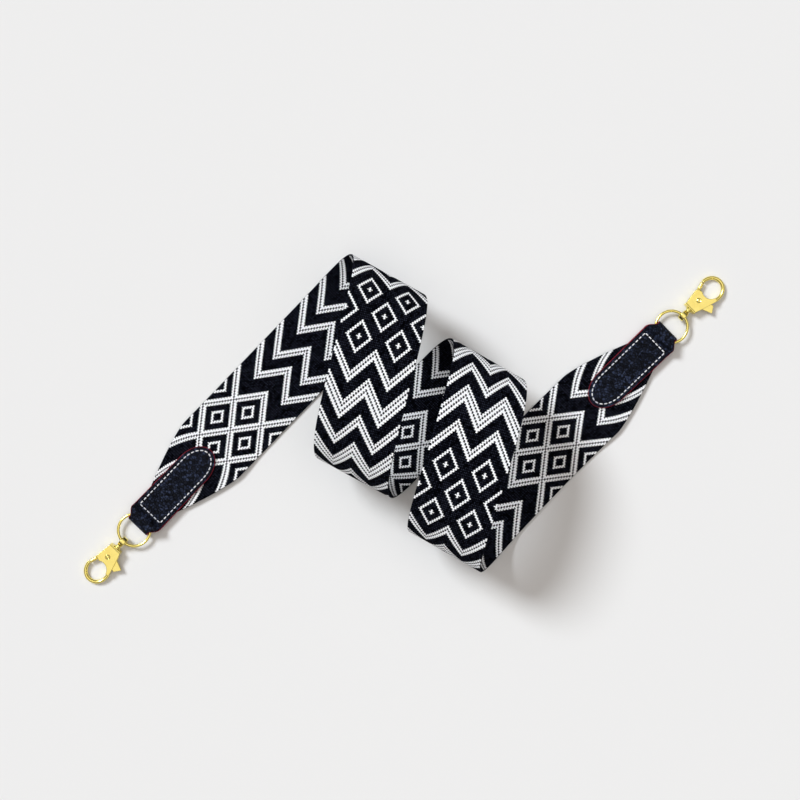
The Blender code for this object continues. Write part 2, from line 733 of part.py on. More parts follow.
def make_pin(side, clasp):
    """The rivet pin through the body and the lever, with a flat head on each face."""
    face = BODY_HALF_THICKNESS + RUNNING_GAP
    top = face + PIN_HEAD_HEIGHT
    edge = PIN_HEAD_RADIUS - PIN_HEAD_HEIGHT / 2
    profile = [(-top, edge), (-top + PIN_HEAD_HEIGHT / 2, PIN_HEAD_RADIUS), (-face, PIN_HEAD_RADIUS),
               (-face, PIN_RADIUS), (face, PIN_RADIUS), (face, PIN_HEAD_RADIUS),
               (top - PIN_HEAD_HEIGHT / 2, PIN_HEAD_RADIUS), (top, edge)]
    mesh = turned(side + "_pin", profile, 16)
    mesh.transform(Matrix.Rotation(-math.pi / 2, 4, "Y"))
    pin = add_object(side + "_rivet_pin", mesh, clasp, "gold")
    pin.location = (*PIVOT, 0.0)
    return pin


def make_spring(side, clasp):
    """The torsion spring round the pin: one leg on the end wall, the other on the lever's gate arm."""
    radius = SPRING_COIL_RADIUS
    low = -SPRING_POCKET_FLOOR + SPRING_END_GAP + SPRING_WIRE_RADIUS
    rise = SLOT_HALF_HEIGHT - SPRING_END_GAP - SPRING_WIRE_RADIUS - low
    points = [(-SPRING_BACK_LEG, radius, low)]
    steps = round(SPRING_TURNS * 12)
    for step in range(steps + 1):
        angle = math.pi / 2 - 2 * math.pi * SPRING_TURNS * step / steps
        points.append((radius * math.cos(angle), radius * math.sin(angle), low + rise * step / steps))
    points.append((SPRING_GATE_LEG, radius, points[-1][2]))
    mesh = skin(side + "_spring", wire_rings(points, SPRING_WIRE_RADIUS, 6))
    spring = add_object(side + "_gate_spring", mesh, clasp, "spring_steel")
    spring.location = (*PIVOT, 0.0)
    return spring


def make_end(side, lay, root):
    """One end of the strap: tab, stitching, ring and clasp."""
    right = side == "right"
    place, heading = lay.end_frame(right)
    frame = add_empty(side + "_end", root, (*place, 0.0), (0.0, 0.0, heading))
    make_tab(side, frame)
    make_stitching(side, frame)
    make_ring(side, frame)
    hinge = (RING_PAST_FOLD + RING_RADIUS, 0.0, ring_height())
    pitch = add_empty(side + "_clasp_pitch", frame, hinge, (0.0, clasp_pitch(), 0.0))
    roll = 0.0 if right else math.pi
    clasp = add_empty(side + "_clasp", pitch, (0, 0, 0), (roll, 0.0, 0.0))
    make_eye(side, clasp)
    make_hook(side, clasp)
    make_lever(side, clasp)
    make_pin(side, clasp)
    make_spring(side, clasp)


def centre_on_origin(root):
    """Move the whole part so that the middle of its plan box is at the origin."""
    bpy.context.view_layer.update()
    graph = bpy.context.evaluated_depsgraph_get()
    corners = []
    for obj in bpy.data.objects:
        if obj.type == "MESH" and not obj.hide_render:
            made = obj.evaluated_get(graph)
            mesh = made.to_mesh()
            corners += [made.matrix_world @ vertex.co for vertex in mesh.vertices]
            made.to_mesh_clear()
    spread = np.array(corners)
    middle = (spread.min(axis=0) + spread.max(axis=0)) / 2
    root.location = (-middle[0], -middle[1], 0.0)


def main():
    """Build the strap."""
    clear_scene()
    root = add_empty("strap")
    lay = Lay()
    make_webbing(lay, root)
    for side in ("left", "right"):
        make_end(side, lay, root)
    centre_on_origin(root)


main()
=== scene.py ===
"""Looks of the wide bag strap: patterned webbing, leather tabs, rings and swivel clasps.

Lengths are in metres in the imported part's own frame. The webbing lies on the table, stands up in two
loops and ends in a folded leather tab at each side, where a ring holds a swivel clasp.
"""

import json
import logging
import math
from collections.abc import Callable, Iterator, Sequence
from contextlib import contextmanager
from dataclasses import dataclass, field
from enum import Enum

import bmesh
import bpy
import numpy as np
from mathutils import Matrix, Vector


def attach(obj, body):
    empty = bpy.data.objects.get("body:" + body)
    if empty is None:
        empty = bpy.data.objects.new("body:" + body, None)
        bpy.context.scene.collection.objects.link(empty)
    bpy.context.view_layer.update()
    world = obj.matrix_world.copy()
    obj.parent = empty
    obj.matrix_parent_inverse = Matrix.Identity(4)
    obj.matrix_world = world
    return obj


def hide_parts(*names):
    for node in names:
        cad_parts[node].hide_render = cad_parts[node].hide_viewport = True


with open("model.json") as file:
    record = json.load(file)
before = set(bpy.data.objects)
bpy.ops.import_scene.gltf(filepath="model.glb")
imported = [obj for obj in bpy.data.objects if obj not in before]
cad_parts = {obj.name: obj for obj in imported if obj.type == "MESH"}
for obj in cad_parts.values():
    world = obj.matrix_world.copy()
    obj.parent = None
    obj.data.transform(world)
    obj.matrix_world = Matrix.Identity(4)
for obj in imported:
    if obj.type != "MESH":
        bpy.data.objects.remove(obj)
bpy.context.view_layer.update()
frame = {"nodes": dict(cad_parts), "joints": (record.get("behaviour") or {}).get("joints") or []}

log = logging.getLogger("strap")

CUT_THRESHOLD = 1e-7
MERGE_DISTANCE = 1e-6
# The ring's swing axis, along the tab from the edge of its fold.
RING_AXIS = -0.00465
SELECT_MODES = {"verts": "VERT", "edges": "EDGE", "faces": "FACE"}
Point = tuple[float, float]
Colour = tuple[float, float, float, float]
Socket = bpy.types.NodeSocket


class End(Enum):
    """The two ends of the strap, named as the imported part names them."""

    LEFT = "left"
    RIGHT = "right"


class WebbingSide(Enum):
    """The webbing's two sides, with the shift that its pattern columns carry on each."""

    FACE = 0.0
    REVERSE = 100.0


def linear(red: int, green: int, blue: int) -> Colour:
    """A colour as it is seen on a screen, from 0 to 255, as the shader takes it.

    Args:
        red: The red value.
        green: The green value.
        blue: The blue value.

    Returns:
        The linear colour.
    """
    channels = [value / 255 for value in (red, green, blue)]
    found = [value / 12.92 if value <= 0.04045 else ((value + 0.055) / 1.055) ** 2.4 for value in channels]
    return (found[0], found[1], found[2], 1.0)


def eased(share: float) -> float:
    """A share from 0 to 1, eased at both ends."""
    share = min(max(share, 0.0), 1.0)
    return share * share * (3 - 2 * share)


class Shading:
    """The nodes of one material, put together as sums."""

    def __init__(self, name: str) -> None:
        """Start a material with its Principled shader.

        Args:
            name: The material's name.
        """
        self.material = bpy.data.materials.new(name)
        self.material.use_nodes = True
        self.tree = self.material.node_tree
        self.shader = self.tree.nodes["Principled BSDF"]

    def put(self, socket: Socket, value: object) -> None:
        """Give a socket a link or a plain value.

        Args:
            socket: The input that takes it.
            value: Another node's output, or a number or colour.
        """
        if isinstance(value, bpy.types.NodeSocket):
            self.tree.links.new(value, socket)
        else:
            socket.default_value = value

    def node(self, kind: str, **inputs: object) -> bpy.types.Node:
        """Add a node and fill its named inputs.

        Args:
            kind: Blender's name of the node type.
            **inputs: Values by input name, with underscores for spaces.

        Returns:
            The node.
        """
        made = self.tree.nodes.new(kind)
        for name, value in inputs.items():
            self.put(made.inputs[name.replace("_", " ")], value)
        return made

    def math(self, operation: str, *values: object) -> Socket:
        """One Math node.

        Args:
            operation: Blender's name of the operation.
            *values: Its inputs in order.

        Returns:
            The result's socket.
        """
        made = self.tree.nodes.new("ShaderNodeMath")
        made.operation = operation
        for socket, value in zip(made.inputs, values):
            self.put(socket, value)
        return made.outputs[0]

    def blend(self, share: object, low: object, high: object) -> Socket:
        """Mix two colours.

        Args:
            share: How much of the second colour.
            low: The first colour.
            high: The second colour.

        Returns:
            The mixed colour's socket.
        """
        made = self.tree.nodes.new("ShaderNodeMix")
        made.data_type = "RGBA"
        for name, value in (("Factor_Float", share), ("A_Color", low), ("B_Color", high)):
            self.put(next(s for s in made.inputs if s.identifier == name), value)
        return next(s for s in made.outputs if s.identifier == "Result_Color")

    def choose(self, test: object, no: object, yes: object) -> Socket:
        """One of two numbers, by a test that is 0 or 1.

        Args:
            test: The test.
            no: The number where it is 0.
            yes: The number where it is 1.

        Returns:
            The chosen number's socket.
        """
        gap = self.math("SUBTRACT", yes, no)
        return self.math("MULTIPLY_ADD", test, gap, no)

    def steps(self, place: object, codes: Sequence[Colour]) -> tuple[Socket, Socket]:
        """Look a whole number up in a list of four-channel codes.

        Args:
            place: The number, from 0.
            codes: The code of each number.

        Returns:
            The code's colour socket and its alpha socket.
        """
        count = len(codes)
        ramp = self.node("ShaderNodeValToRGB", Fac=self.math("DIVIDE", self.math("ADD", place, 0.5), count))
        ramp.color_ramp.interpolation = "CONSTANT"
        stops = ramp.color_ramp.elements
        stops[0].position, stops[0].color = 0.0, codes[0]
        stops.remove(stops[1])
        for number in range(1, count):
            if codes[number] != codes[number - 1]:
                stops.new(number / count).color = codes[number]
        return ramp.outputs["Color"], ramp.outputs["Alpha"]

    def noise(self, vector: object, scale: float, detail: float = 2.0) -> Socket:
        """A cloudy noise.

        Args:
            vector: Where it is read.
            scale: Its repeats in one unit of the vector.
            detail: Its octaves.

        Returns:
            The noise value's socket.
        """
        return self.node("ShaderNodeTexNoise", Vector=vector, Scale=scale, Detail=detail).outputs[0]

    def relief(self, height: object, depth: float) -> None:
        """Raise the surface by a bump.

        Args:
            height: The height from 0 to 1.
            depth: The relief's depth in metres.
        """
        bump = self.node("ShaderNodeBump", Height=height, Distance=depth, Strength=1.0)
        self.put(self.shader.inputs["Normal"], bump.outputs["Normal"])

    def own_place(self) -> Socket:
        """The Object coordinate of the piece itself."""
        return self.node("ShaderNodeTexCoord").outputs["Object"]


@dataclass(frozen=True)
class WebbingFinish:
    """Jacquard weave of dark and white stitches, drawn stitch by stitch from the piece's stitch map.

    One repeat is 255 rows long. It has a block of diamonds that meet at the middle column, a run of
    zigzags, a block with a diamond on the middle column, and zigzags that point the other way.
    """

    columns_each_side: int = 22
    half_period: int = 11
    repeat_rows: int = 255
    middle_block_row: int = 141
    zigzag_rows: int = 27
    slant: float = 0.45
    dark_bite: float = 0.29
    dot_across: float = 0.49
    dot_along: float = 0.78
    dot_squareness: float = 4.0
    white: Colour = linear(253, 254, 255)
    # Painted shade: the white yarn's colour at the edges of each stitch, where the light falls off round the
    # yarn.
    white_painted_shade: Colour = linear(228, 231, 244)
    # dark is the colour of a dark stitch's painted crest highlight; dark_gap is the dark yarn's own
    # near-black around it.
    dark: Colour = linear(43, 46, 59)
    dark_gap: Colour = linear(0, 0, 1)
    roughness: float = 0.9
    specular: float = 0.005
    stitch_relief: float = 0.00012
    stitch_oval: Point = (0.52, 0.55)
    strands_across: float = 9.0
    strand_drift: float = 1.5
    # The painted highlight on the dark stitches' crests: how sharp it is, how much it varies at random and
    # how the strands break it up.
    crest_highlight_power: float = 5.0
    crest_highlight_spread: float = 1.5
    crest_highlight_strands: Point = (0.8, 0.6)
    # Painted light on the white stitches' domes, fading to the painted shade at their edges.
    white_dome_painted_light: Point = (1.1, 0.25)
    white_strands: Point = (0.4, 0.8)
    strand_rise: float = 0.18
    dot_sink: float = 0.6
    falling_shift: int = 4

    def zigzag_codes(self) -> list[Colour]:
        """Face white, face dot, reverse white and reverse dot for each row of a zigzag period.

        Returns:
            Four numbers for each row.
        """
        face_white = {25, 26, 0, 1, 2, 13, 14, 15, 16, 17}
        reverse_white = {4, 5, 6, 7, 8, 9, 10, 11, 19, 20, 21, 22, 23}
        return [(float(row in face_white), float(row in (0, 15)), float(row in reverse_white),
                 float(row in (6, 9, 21))) for row in range(self.zigzag_rows)]

    def diamond_codes(self) -> list[Colour]:
        """The same four numbers for each distance from a diamond's centre.

        Returns:
            Four numbers for each distance.
        """
        face_white, reverse_white = {3, 4, 9, 10, 11}, {0, 1, 6, 7}
        return [(float(step in face_white), float(step == 11), float(step in reverse_white), 0.0)
                for step in range(self.half_period + 1)]

    def material(self) -> bpy.types.Material:
        """The weave's material.

        Returns:
            The material.
        """
        made = Shading("jacquard_webbing")
        math_of = made.math
        place = made.node("ShaderNodeSeparateXYZ", Vector=made.tree.nodes.new("ShaderNodeUVMap").outputs[0])
        shifted, row_place = place.outputs[0], place.outputs[1]
        reverse = math_of("GREATER_THAN", shifted, WebbingSide.REVERSE.value / 2)
        column_place = math_of("MULTIPLY_ADD", reverse, -WebbingSide.REVERSE.value, shifted)
        row = math_of("ROUND", row_place)
        along = math_of("SUBTRACT", row_place, row)
        lean = math_of("MULTIPLY", along, made.choose(reverse, self.slant, -self.slant))
        slanted = math_of("ADD", column_place, lean)
        column = math_of("ROUND", slanted)
        across = math_of("SUBTRACT", slanted, column)
        inside = math_of("LESS_THAN", math_of("ABSOLUTE", slanted), self.columns_each_side + 0.5)

        yarns = []
        for shift in (-self.dark_bite, self.dark_bite):
            near_row = math_of("ROUND", math_of("ADD", row_place, shift))
            colour_code, dot_code = self.codes(made, column, near_row)
            split = made.node("ShaderNodeSeparateColor", Color=colour_code)
            yarns.append(made.choose(reverse, split.outputs[0], split.outputs[2]))
            has_dot = made.choose(reverse, split.outputs[1], dot_code)
        is_white = math_of("MINIMUM", *yarns)
        reach = math_of("ADD", *(math_of("POWER", math_of("DIVIDE", place, size), self.dot_squareness)
                                 for place, size in ((across, self.dot_across), (along, self.dot_along))))
        dotted = math_of("MULTIPLY", has_dot, math_of("LESS_THAN", reach, 1.0))
        is_white = math_of("MULTIPLY", is_white, math_of("SUBTRACT", 1.0, dotted))
        is_white = math_of("MULTIPLY", is_white, inside)
        self.dress(made, (column, row, across, along), is_white, dotted)
        return made.material

    def codes(self, made: Shading, column: Socket, row: Socket) -> tuple[Socket, Socket]:
        """The code of one stitch.

        Args:
            made: The material in the making.
            column: The stitch's column, from the middle.
            row: Its row, from the first block's middle.

        Returns:
            The code's colour and alpha sockets.
        """
        math_of = made.math
        half = self.half_period
        whole = math_of("MINIMUM", math_of("ABSOLUTE", column), self.columns_each_side)
        tent = math_of("SUBTRACT", half, math_of("ABSOLUTE", math_of("SUBTRACT", whole, half)))
        turn = math_of("FLOORED_MODULO", row, self.repeat_rows)
        from_first = math_of("MINIMUM", turn, math_of("SUBTRACT", self.repeat_rows, turn))
        from_middle = math_of("ABSOLUTE", math_of("SUBTRACT", turn, self.middle_block_row))
        in_first = math_of("COMPARE", math_of("MINIMUM", from_first, math_of("SUBTRACT", 2 * half, tent)),
                           from_first, 0.5)
        in_middle = math_of("COMPARE", math_of("MINIMUM", from_middle, math_of("ADD", half, tent)),
                            from_middle, 0.5)
        near = made.choose(in_middle, from_first, from_middle)
        row_tent = math_of("SUBTRACT", half, math_of("ABSOLUTE", math_of("SUBTRACT", near, half)))
        first_gap = math_of("ABSOLUTE", math_of("SUBTRACT", tent, row_tent))
        middle_gap = math_of("ABSOLUTE", math_of("SUBTRACT", half, math_of("ADD", tent, row_tent)))
        depth = math_of("SUBTRACT", half, made.choose(in_middle, first_gap, middle_gap))
        diamond = made.steps(depth, self.diamond_codes())
        after_middle = math_of("GREATER_THAN", turn, self.middle_block_row)
        rising = math_of("ADD", turn, math_of("SUBTRACT", tent, 2 * half))
        falling_start = self.middle_block_row - self.falling_shift
        falling = math_of("SUBTRACT", math_of("SUBTRACT", turn, falling_start), tent)
        wave = math_of("FLOORED_MODULO", made.choose(after_middle, rising, falling), self.zigzag_rows)
        zigzag = made.steps(wave, self.zigzag_codes())
        in_block = math_of("MAXIMUM", in_first, in_middle)
        return made.blend(in_block, zigzag[0], diamond[0]), made.choose(in_block, zigzag[1], diamond[1])

    def dress(self, made: Shading, stitch: tuple[Socket, ...], is_white: Socket, dotted: Socket) -> None:
        """Colour and relief of the yarn, with a painted highlight on each dark stitch's crest and painted
        shade round each white stitch's dome.

        Args:
            made: The material in the making.
            stitch: Column, row, and place across and along within the stitch.
            is_white: 1 where the yarn on top is white.
            dotted: 1 inside a dark dot.
        """
        math_of = made.math
        column, row, across, along = stitch
        oval = math_of("ADD", *(math_of("POWER", math_of("DIVIDE", place, size), 2.0)
                                for place, size in zip((across, along), self.stitch_oval)))
        dome = math_of("SQRT", math_of("MAXIMUM", math_of("SUBTRACT", 1.0, oval), 0.0))
        cell = made.node("ShaderNodeCombineXYZ", X=column, Y=row)
        lot = made.node("ShaderNodeTexWhiteNoise", Vector=cell.outputs[0]).outputs["Value"]
        strand_place = made.node("ShaderNodeCombineXYZ", X=math_of("MULTIPLY", across, self.strands_across),
                                 Y=math_of("ADD", row, math_of("MULTIPLY", along, self.strand_drift)),
                                 Z=column)
        strands = made.noise(strand_place.outputs[0], 1.0, 1.0)
        # Painted highlight: each dark stitch is lightened on its crest, as a sheen would light it, more on
        # some stitches than others.
        painted_crest_highlight = math_of("MULTIPLY", math_of("POWER", dome, self.crest_highlight_power),
                        math_of("MULTIPLY", lot, self.crest_highlight_spread))
        painted_crest_highlight = math_of("MULTIPLY", painted_crest_highlight, math_of("MULTIPLY_ADD", strands, *self.crest_highlight_strands))
        dark = made.blend(painted_crest_highlight, self.dark_gap, self.dark)
        # Painted light and shade: each white stitch is white on its dome and darkens to a painted shade at
        # its edges; the strands break it up.
        painted_dome_light = math_of("MINIMUM", math_of("MULTIPLY_ADD", dome, *self.white_dome_painted_light), 1.0)
        painted_dome_light = math_of("MULTIPLY", painted_dome_light, math_of("MULTIPLY_ADD", strands, *self.white_strands))
        white = made.blend(painted_dome_light, self.white_painted_shade, self.white)
        made.put(made.shader.inputs["Base Color"], made.blend(is_white, dark, white))
        made.shader.inputs["Roughness"].default_value = self.roughness
        made.shader.inputs["Specular IOR Level"].default_value = self.specular
        height = math_of("SUBTRACT", math_of("MULTIPLY_ADD", strands, self.strand_rise, dome),
                         math_of("MULTIPLY", dotted, self.dot_sink))
        made.relief(height, self.stitch_relief)


@dataclass(frozen=True)
class LeatherFinish:
    """Navy leather with a pebbled grain, painted shade in its creases, and burgundy paint on its cut edges.

    The piece's own map gives, in millimetres, how far each place lies from the cut edge.
    """

    colour: Colour = linear(46, 54, 76)
    # Painted shade in the creases between the pebbles.
    painted_crease_shade: Colour = linear(0, 0, 2)
    paint: Colour = linear(150, 22, 42)
    worn_paint: Colour = linear(84, 14, 28)
    paint_width: float = 0.36
    paint_raggedness: float = 0.4
    paint_clouds: tuple[float, float] = (260.0, 3.0)
    paint_level: float = 0.6
    pebbles_per_metre: float = 600.0
    pebble_slope: float = 3.8
    pebble_warp: Point = (0.7, 0.45)
    fine_share: float = 3.5
    fine_rise: float = 0.1
    patches_per_metre: float = 70.0
    patch_tone: Point = (0.6, 0.6)
    # Random tone from pebble to pebble, whose lighter pebbles also stand in for painted glints on the grain.
    pebble_tone_and_painted_glint: Point = (1.3, 0.15)
    roughness: float = 0.42
    hollow_roughness: float = 0.12
    paint_roughness: float = 0.35
    specular: float = 0.07
    grain_depth: float = 0.00022

    def material(self) -> bpy.types.Material:
        """The leather's material.

        Returns:
            The material.
        """
        made = Shading("pebbled_leather")
        place = made.own_place()
        patches = made.noise(place, self.patches_per_metre)
        fine = made.noise(place, self.pebbles_per_metre * self.fine_share)
        rise, lot = self.pebbles(made, place)
        margin = made.node("ShaderNodeSeparateXYZ", Vector=made.tree.nodes.new("ShaderNodeUVMap").outputs[0])
        ragged = made.math("MULTIPLY", made.math("SUBTRACT", fine, 0.5), self.paint_raggedness)
        painted = made.math("LESS_THAN", made.math("ADD", margin.outputs[0], ragged), self.paint_width)
        # Painted shade: the colour darkens in the creases between pebbles, and varies at random in patches
        # and from pebble to pebble.
        tone_with_painted_crease_shade = made.math("MULTIPLY", made.math("POWER", rise, 1.5),
                         made.math("MULTIPLY_ADD", patches, *self.patch_tone))
        # Some pebbles are lighter than others: partly random tone, partly painted glints.
        tone_with_painted_crease_shade = made.math("MULTIPLY", tone_with_painted_crease_shade,
                         made.math("MULTIPLY_ADD", made.math("POWER", lot, 2.0), *self.pebble_tone_and_painted_glint))
        grain = made.blend(tone_with_painted_crease_shade, self.painted_crease_shade, self.colour)
        paint = made.blend(made.noise(place, *self.paint_clouds), self.worn_paint, self.paint)
        made.put(made.shader.inputs["Base Color"], made.blend(painted, grain, paint))
        rough = made.math("MULTIPLY_ADD", rise, -self.hollow_roughness,
                          self.roughness + self.hollow_roughness)
        made.put(made.shader.inputs["Roughness"], made.choose(painted, rough, self.paint_roughness))
        made.shader.inputs["Specular IOR Level"].default_value = self.specular
        height = made.math("MULTIPLY_ADD", fine, self.fine_rise, rise)
        made.relief(made.choose(painted, height, self.paint_level), self.grain_depth)
        return made.material

    def pebbles(self, made: Shading, place: Socket) -> tuple[Socket, Socket]:
        """The grain: the height of each rounded pebble, and a number that differs from pebble to pebble.

        Args:
            made: The material in the making.
            place: Where it is read.

        Returns:
            The height's socket and the number's socket.
        """
        warp_share, warp_reach = self.pebble_warp
        scale = self.pebbles_per_metre
        warp = made.node("ShaderNodeTexNoise", Vector=place, Scale=scale * warp_share)
        wobble = made.node("ShaderNodeVectorMath", Vector=warp.outputs["Color"])
        wobble.operation = "SCALE"
        wobble.inputs["Scale"].default_value = warp_reach / scale
        moved = made.node("ShaderNodeVectorMath")
        made.put(moved.inputs[0], place)
        made.put(moved.inputs[1], wobble.outputs[0])
        cells = made.node("ShaderNodeTexVoronoi", Vector=moved.outputs[0], Scale=scale)
        edges = made.node("ShaderNodeTexVoronoi", Vector=moved.outputs[0], Scale=scale)
        edges.feature = "DISTANCE_TO_EDGE"
        swell = made.math("MULTIPLY", edges.outputs["Distance"], self.pebble_slope)
        swell = made.math("MINIMUM", swell, 1.0)
        rise = made.math("MULTIPLY", swell, made.math("SUBTRACT", 2.0, swell))
        return rise, made.node("ShaderNodeSeparateColor", Color=cells.outputs["Color"]).outputs[0]


@dataclass(frozen=True)
class ThreadFinish:
    """White waxed thread with a fine twist, with painted shade in the twist's grooves."""

    colour: Colour = linear(248, 248, 250)
    # Painted shade in the grooves of the twist.
    painted_twist_shade: Colour = linear(208, 210, 220)
    twist_scale: float = 130.0
    twist_distortion: float = 2.0
    twist_depth: float = 0.00008
    roughness: float = 0.6

    def material(self) -> bpy.types.Material:
        """The thread's material.

        Returns:
            The material.
        """
        made = Shading("white_thread")
        place = made.own_place()
        twist = made.node("ShaderNodeTexWave", Vector=place, Scale=self.twist_scale,
                          Distortion=self.twist_distortion)
        twist.bands_direction = "DIAGONAL"
        ply = twist.outputs["Fac"]
        # Painted shade: the thread darkens where the twist's relief is low.
        made.put(made.shader.inputs["Base Color"], made.blend(ply, self.painted_twist_shade, self.colour))
        made.shader.inputs["Roughness"].default_value = self.roughness
        made.relief(ply, self.twist_depth)
        return made.material


@dataclass(frozen=True)
class MetalFinish:
    """Polished metal with a faint cloud, hairline marks and a soft orange peel."""

    name: str
    colour: Colour
    tarnish: Colour
    roughness: float
    clouds: tuple[float, float] = (240.0, 3.0)
    peel_per_metre: float = 900.0
    hair_scale: tuple[float, float, float] = (300.0, 9000.0, 2500.0)
    hair_roughness: float = 0.10
    cloud_roughness: float = 0.06
    hair_rise: float = 0.15
    relief_depth: float = 0.000012

    def material(self) -> bpy.types.Material:
        """The metal's material.

        Returns:
            The material.
        """
        made = Shading(self.name)
        place = made.own_place()
        cloud = made.noise(place, *self.clouds)
        peel = made.noise(place, self.peel_per_metre)
        hair = made.node("ShaderNodeMapping", Vector=place)
        hair.inputs["Scale"].default_value = self.hair_scale
        marks = made.noise(hair.outputs[0], 1.0)
        made.put(made.shader.inputs["Base Color"], made.blend(cloud, self.colour, self.tarnish))
        made.shader.inputs["Metallic"].default_value = 1.0
        rough = made.math("MULTIPLY_ADD", marks, self.hair_roughness,
                          self.roughness - self.hair_roughness / 2)
        rough = made.math("MULTIPLY_ADD", cloud, self.cloud_roughness, rough)
        made.put(made.shader.inputs["Roughness"], rough)
        made.relief(made.math("MULTIPLY_ADD", marks, self.hair_rise, peel), self.relief_depth)
        return made.material


@dataclass
class Wardrobe:
    """One material of each finish, shared by the pieces."""

    webbing: bpy.types.Material = field(default_factory=lambda: WebbingFinish().material())
    leather: bpy.types.Material = field(default_factory=lambda: LeatherFinish().material())
    thread: bpy.types.Material = field(default_factory=lambda: ThreadFinish().material())
    gold: bpy.types.Material = field(default_factory=lambda: MetalFinish(
        "polished_gold", linear(249, 235, 144), linear(238, 217, 118), 0.17).material())
    steel: bpy.types.Material = field(default_factory=lambda: MetalFinish(
        "spring_wire", linear(176, 176, 180), linear(140, 140, 146), 0.3).material())


def deselect_all() -> None:
    """Leave nothing selected."""
    bpy.ops.object.select_all(action="DESELECT")


@contextmanager
def editing(piece: bpy.types.Object, kind: str = "FACE") -> Iterator[None]:
    """Open a piece in edit mode with nothing selected.

    Args:
        piece: The piece.
        kind: Whether vertices, edges or faces are selected.

    Returns:
        A context that closes edit mode at its end.
    """
    deselect_all()
    bpy.context.view_layer.objects.active = piece
    piece.select_set(True)
    bpy.ops.object.mode_set(mode="EDIT")
    bpy.ops.mesh.select_mode(type=kind)
    bpy.ops.mesh.select_all(action="DESELECT")
    yield
    bpy.ops.object.mode_set(mode="OBJECT")


def pick(piece: bpy.types.Object, parts: str, test: Callable[[Vector], bool]) -> None:
    """Select the vertices, edges or faces whose middle passes a test, and nothing else.

    Args:
        piece: The piece, open in edit mode.
        parts: Which parts to look at: verts, edges or faces.
        test: Takes the middle of a part.
    """
    bpy.ops.mesh.select_mode(type=SELECT_MODES[parts])
    bpy.ops.mesh.select_all(action="DESELECT")
    work = bmesh.from_edit_mesh(piece.data)
    for part in getattr(work, parts):
        corners = [part] if parts == "verts" else part.verts
        middle = sum((corner.co for corner in corners), Vector()) / len(corners)
        if test(middle):
            part.select_set(True)
    work.select_flush_mode()
    bmesh.update_edit_mesh(piece.data)


def started(name: str) -> bpy.types.Object:
    """Take the primitive that was just added, name it and apply its place.

    Args:
        name: The piece's name.

    Returns:
        The piece.
    """
    piece = bpy.context.active_object
    piece.name = piece.data.name = name
    bpy.ops.object.transform_apply(location=True, rotation=True, scale=True)
    return piece


def block(name: str, low: Sequence[float], high: Sequence[float]) -> bpy.types.Object:
    """A cube stretched between two corners.

    Args:
        name: The piece's name.
        low: Its lowest corner.
        high: Its highest corner.

    Returns:
        The piece.
    """
    deselect_all()
    middle = [(a + b) / 2 for a, b in zip(low, high)]
    spread = [b - a for a, b in zip(low, high)]
    bpy.ops.mesh.primitive_cube_add(size=1, location=middle, scale=spread)
    return started(name)


def trimmed_plate(name: str, outline: Sequence[Point], low: float, high: float) -> bpy.types.Object:
    """A block cut along each side of an outline that bulges everywhere.

    Args:
        name: The piece's name.
        outline: Its corners seen from above, anticlockwise.
        low: Its lower face.
        high: Its upper face.

    Returns:
        The piece.
    """
    reach = [min(x for x, _ in outline) - 0.001, min(y for _, y in outline) - 0.001]
    limit = [max(x for x, _ in outline) + 0.001, max(y for _, y in outline) + 0.001]
    piece = block(name, (*reach, low), (*limit, high))
    with editing(piece):
        for here, there in zip(outline, [*outline[1:], outline[0]]):
            bpy.ops.mesh.select_all(action="SELECT")
            outward = Vector((there[1] - here[1], here[0] - there[0], 0.0)).normalized()
            bpy.ops.mesh.bisect(plane_co=(*here, 0.0), plane_no=outward, use_fill=True, clear_outer=True,
                                threshold=CUT_THRESHOLD)
    return piece


def lathe(name: str, profile: Sequence[Point], sides: int) -> bpy.types.Object:
    """A turned piece about Z: a disc, extruded and resized along its profile.

    Args:
        name: The piece's name.
        profile: Pairs of height and radius, from the bottom.
        sides: The number of its sides.

    Returns:
        The piece.
    """
    deselect_all()
    height, radius = profile[0]
    bpy.ops.mesh.primitive_circle_add(vertices=sides, radius=radius, location=(0, 0, height),
                                      fill_type="NGON")
    piece = started(name)
    with editing(piece):
        bpy.ops.mesh.select_all(action="SELECT")
        for next_height, next_radius in profile[1:]:
            step = (0, 0, next_height - height)
            bpy.ops.mesh.extrude_region_move(TRANSFORM_OT_translate={"value": step})
            share = next_radius / radius
            bpy.ops.transform.resize(value=(share, share, 1), center_override=(0, 0, next_height))
            height, radius = next_height, next_radius
        tidy_shell()
    return piece


def tidy_shell() -> None:
    """Merge doubles and turn the faces of the piece that is open in edit mode outwards."""
    bpy.ops.mesh.select_all(action="SELECT")
    bpy.ops.mesh.remove_doubles(threshold=MERGE_DISTANCE)
    bpy.ops.mesh.normals_make_consistent(inside=False)


def apply_modifier(piece: bpy.types.Object, kind: str, **settings: object) -> None:
    """Add one modifier and apply it.

    Args:
        piece: The piece.
        kind: The modifier's type.
        **settings: Its settings by name.
    """
    deselect_all()
    bpy.context.view_layer.objects.active = piece
    piece.select_set(True)
    step = piece.modifiers.new(kind.lower(), kind)
    for name, value in settings.items():
        setattr(step, name, value)
    bpy.ops.object.modifier_apply(modifier=step.name)


def combine(piece: bpy.types.Object, tool: bpy.types.Object, operation: str) -> None:
    """Join, cut or intersect a piece with a tool, which is used up.

    Args:
        piece: The piece.
        tool: The other solid.
        operation: UNION, DIFFERENCE or INTERSECT.
    """
    apply_modifier(piece, "BOOLEAN", object=tool, operation=operation, solver="EXACT")
    bpy.data.objects.remove(tool, do_unlink=True)


def turned(piece: bpy.types.Object, turn: Matrix) -> bpy.types.Object:
    """Turn or move a piece's mesh and leave its object at the origin.

    Args:
        piece: The piece.
        turn: The transform.

    Returns:
        The same piece.
    """
    piece.data.transform(turn)
    piece.data.update()
    return piece


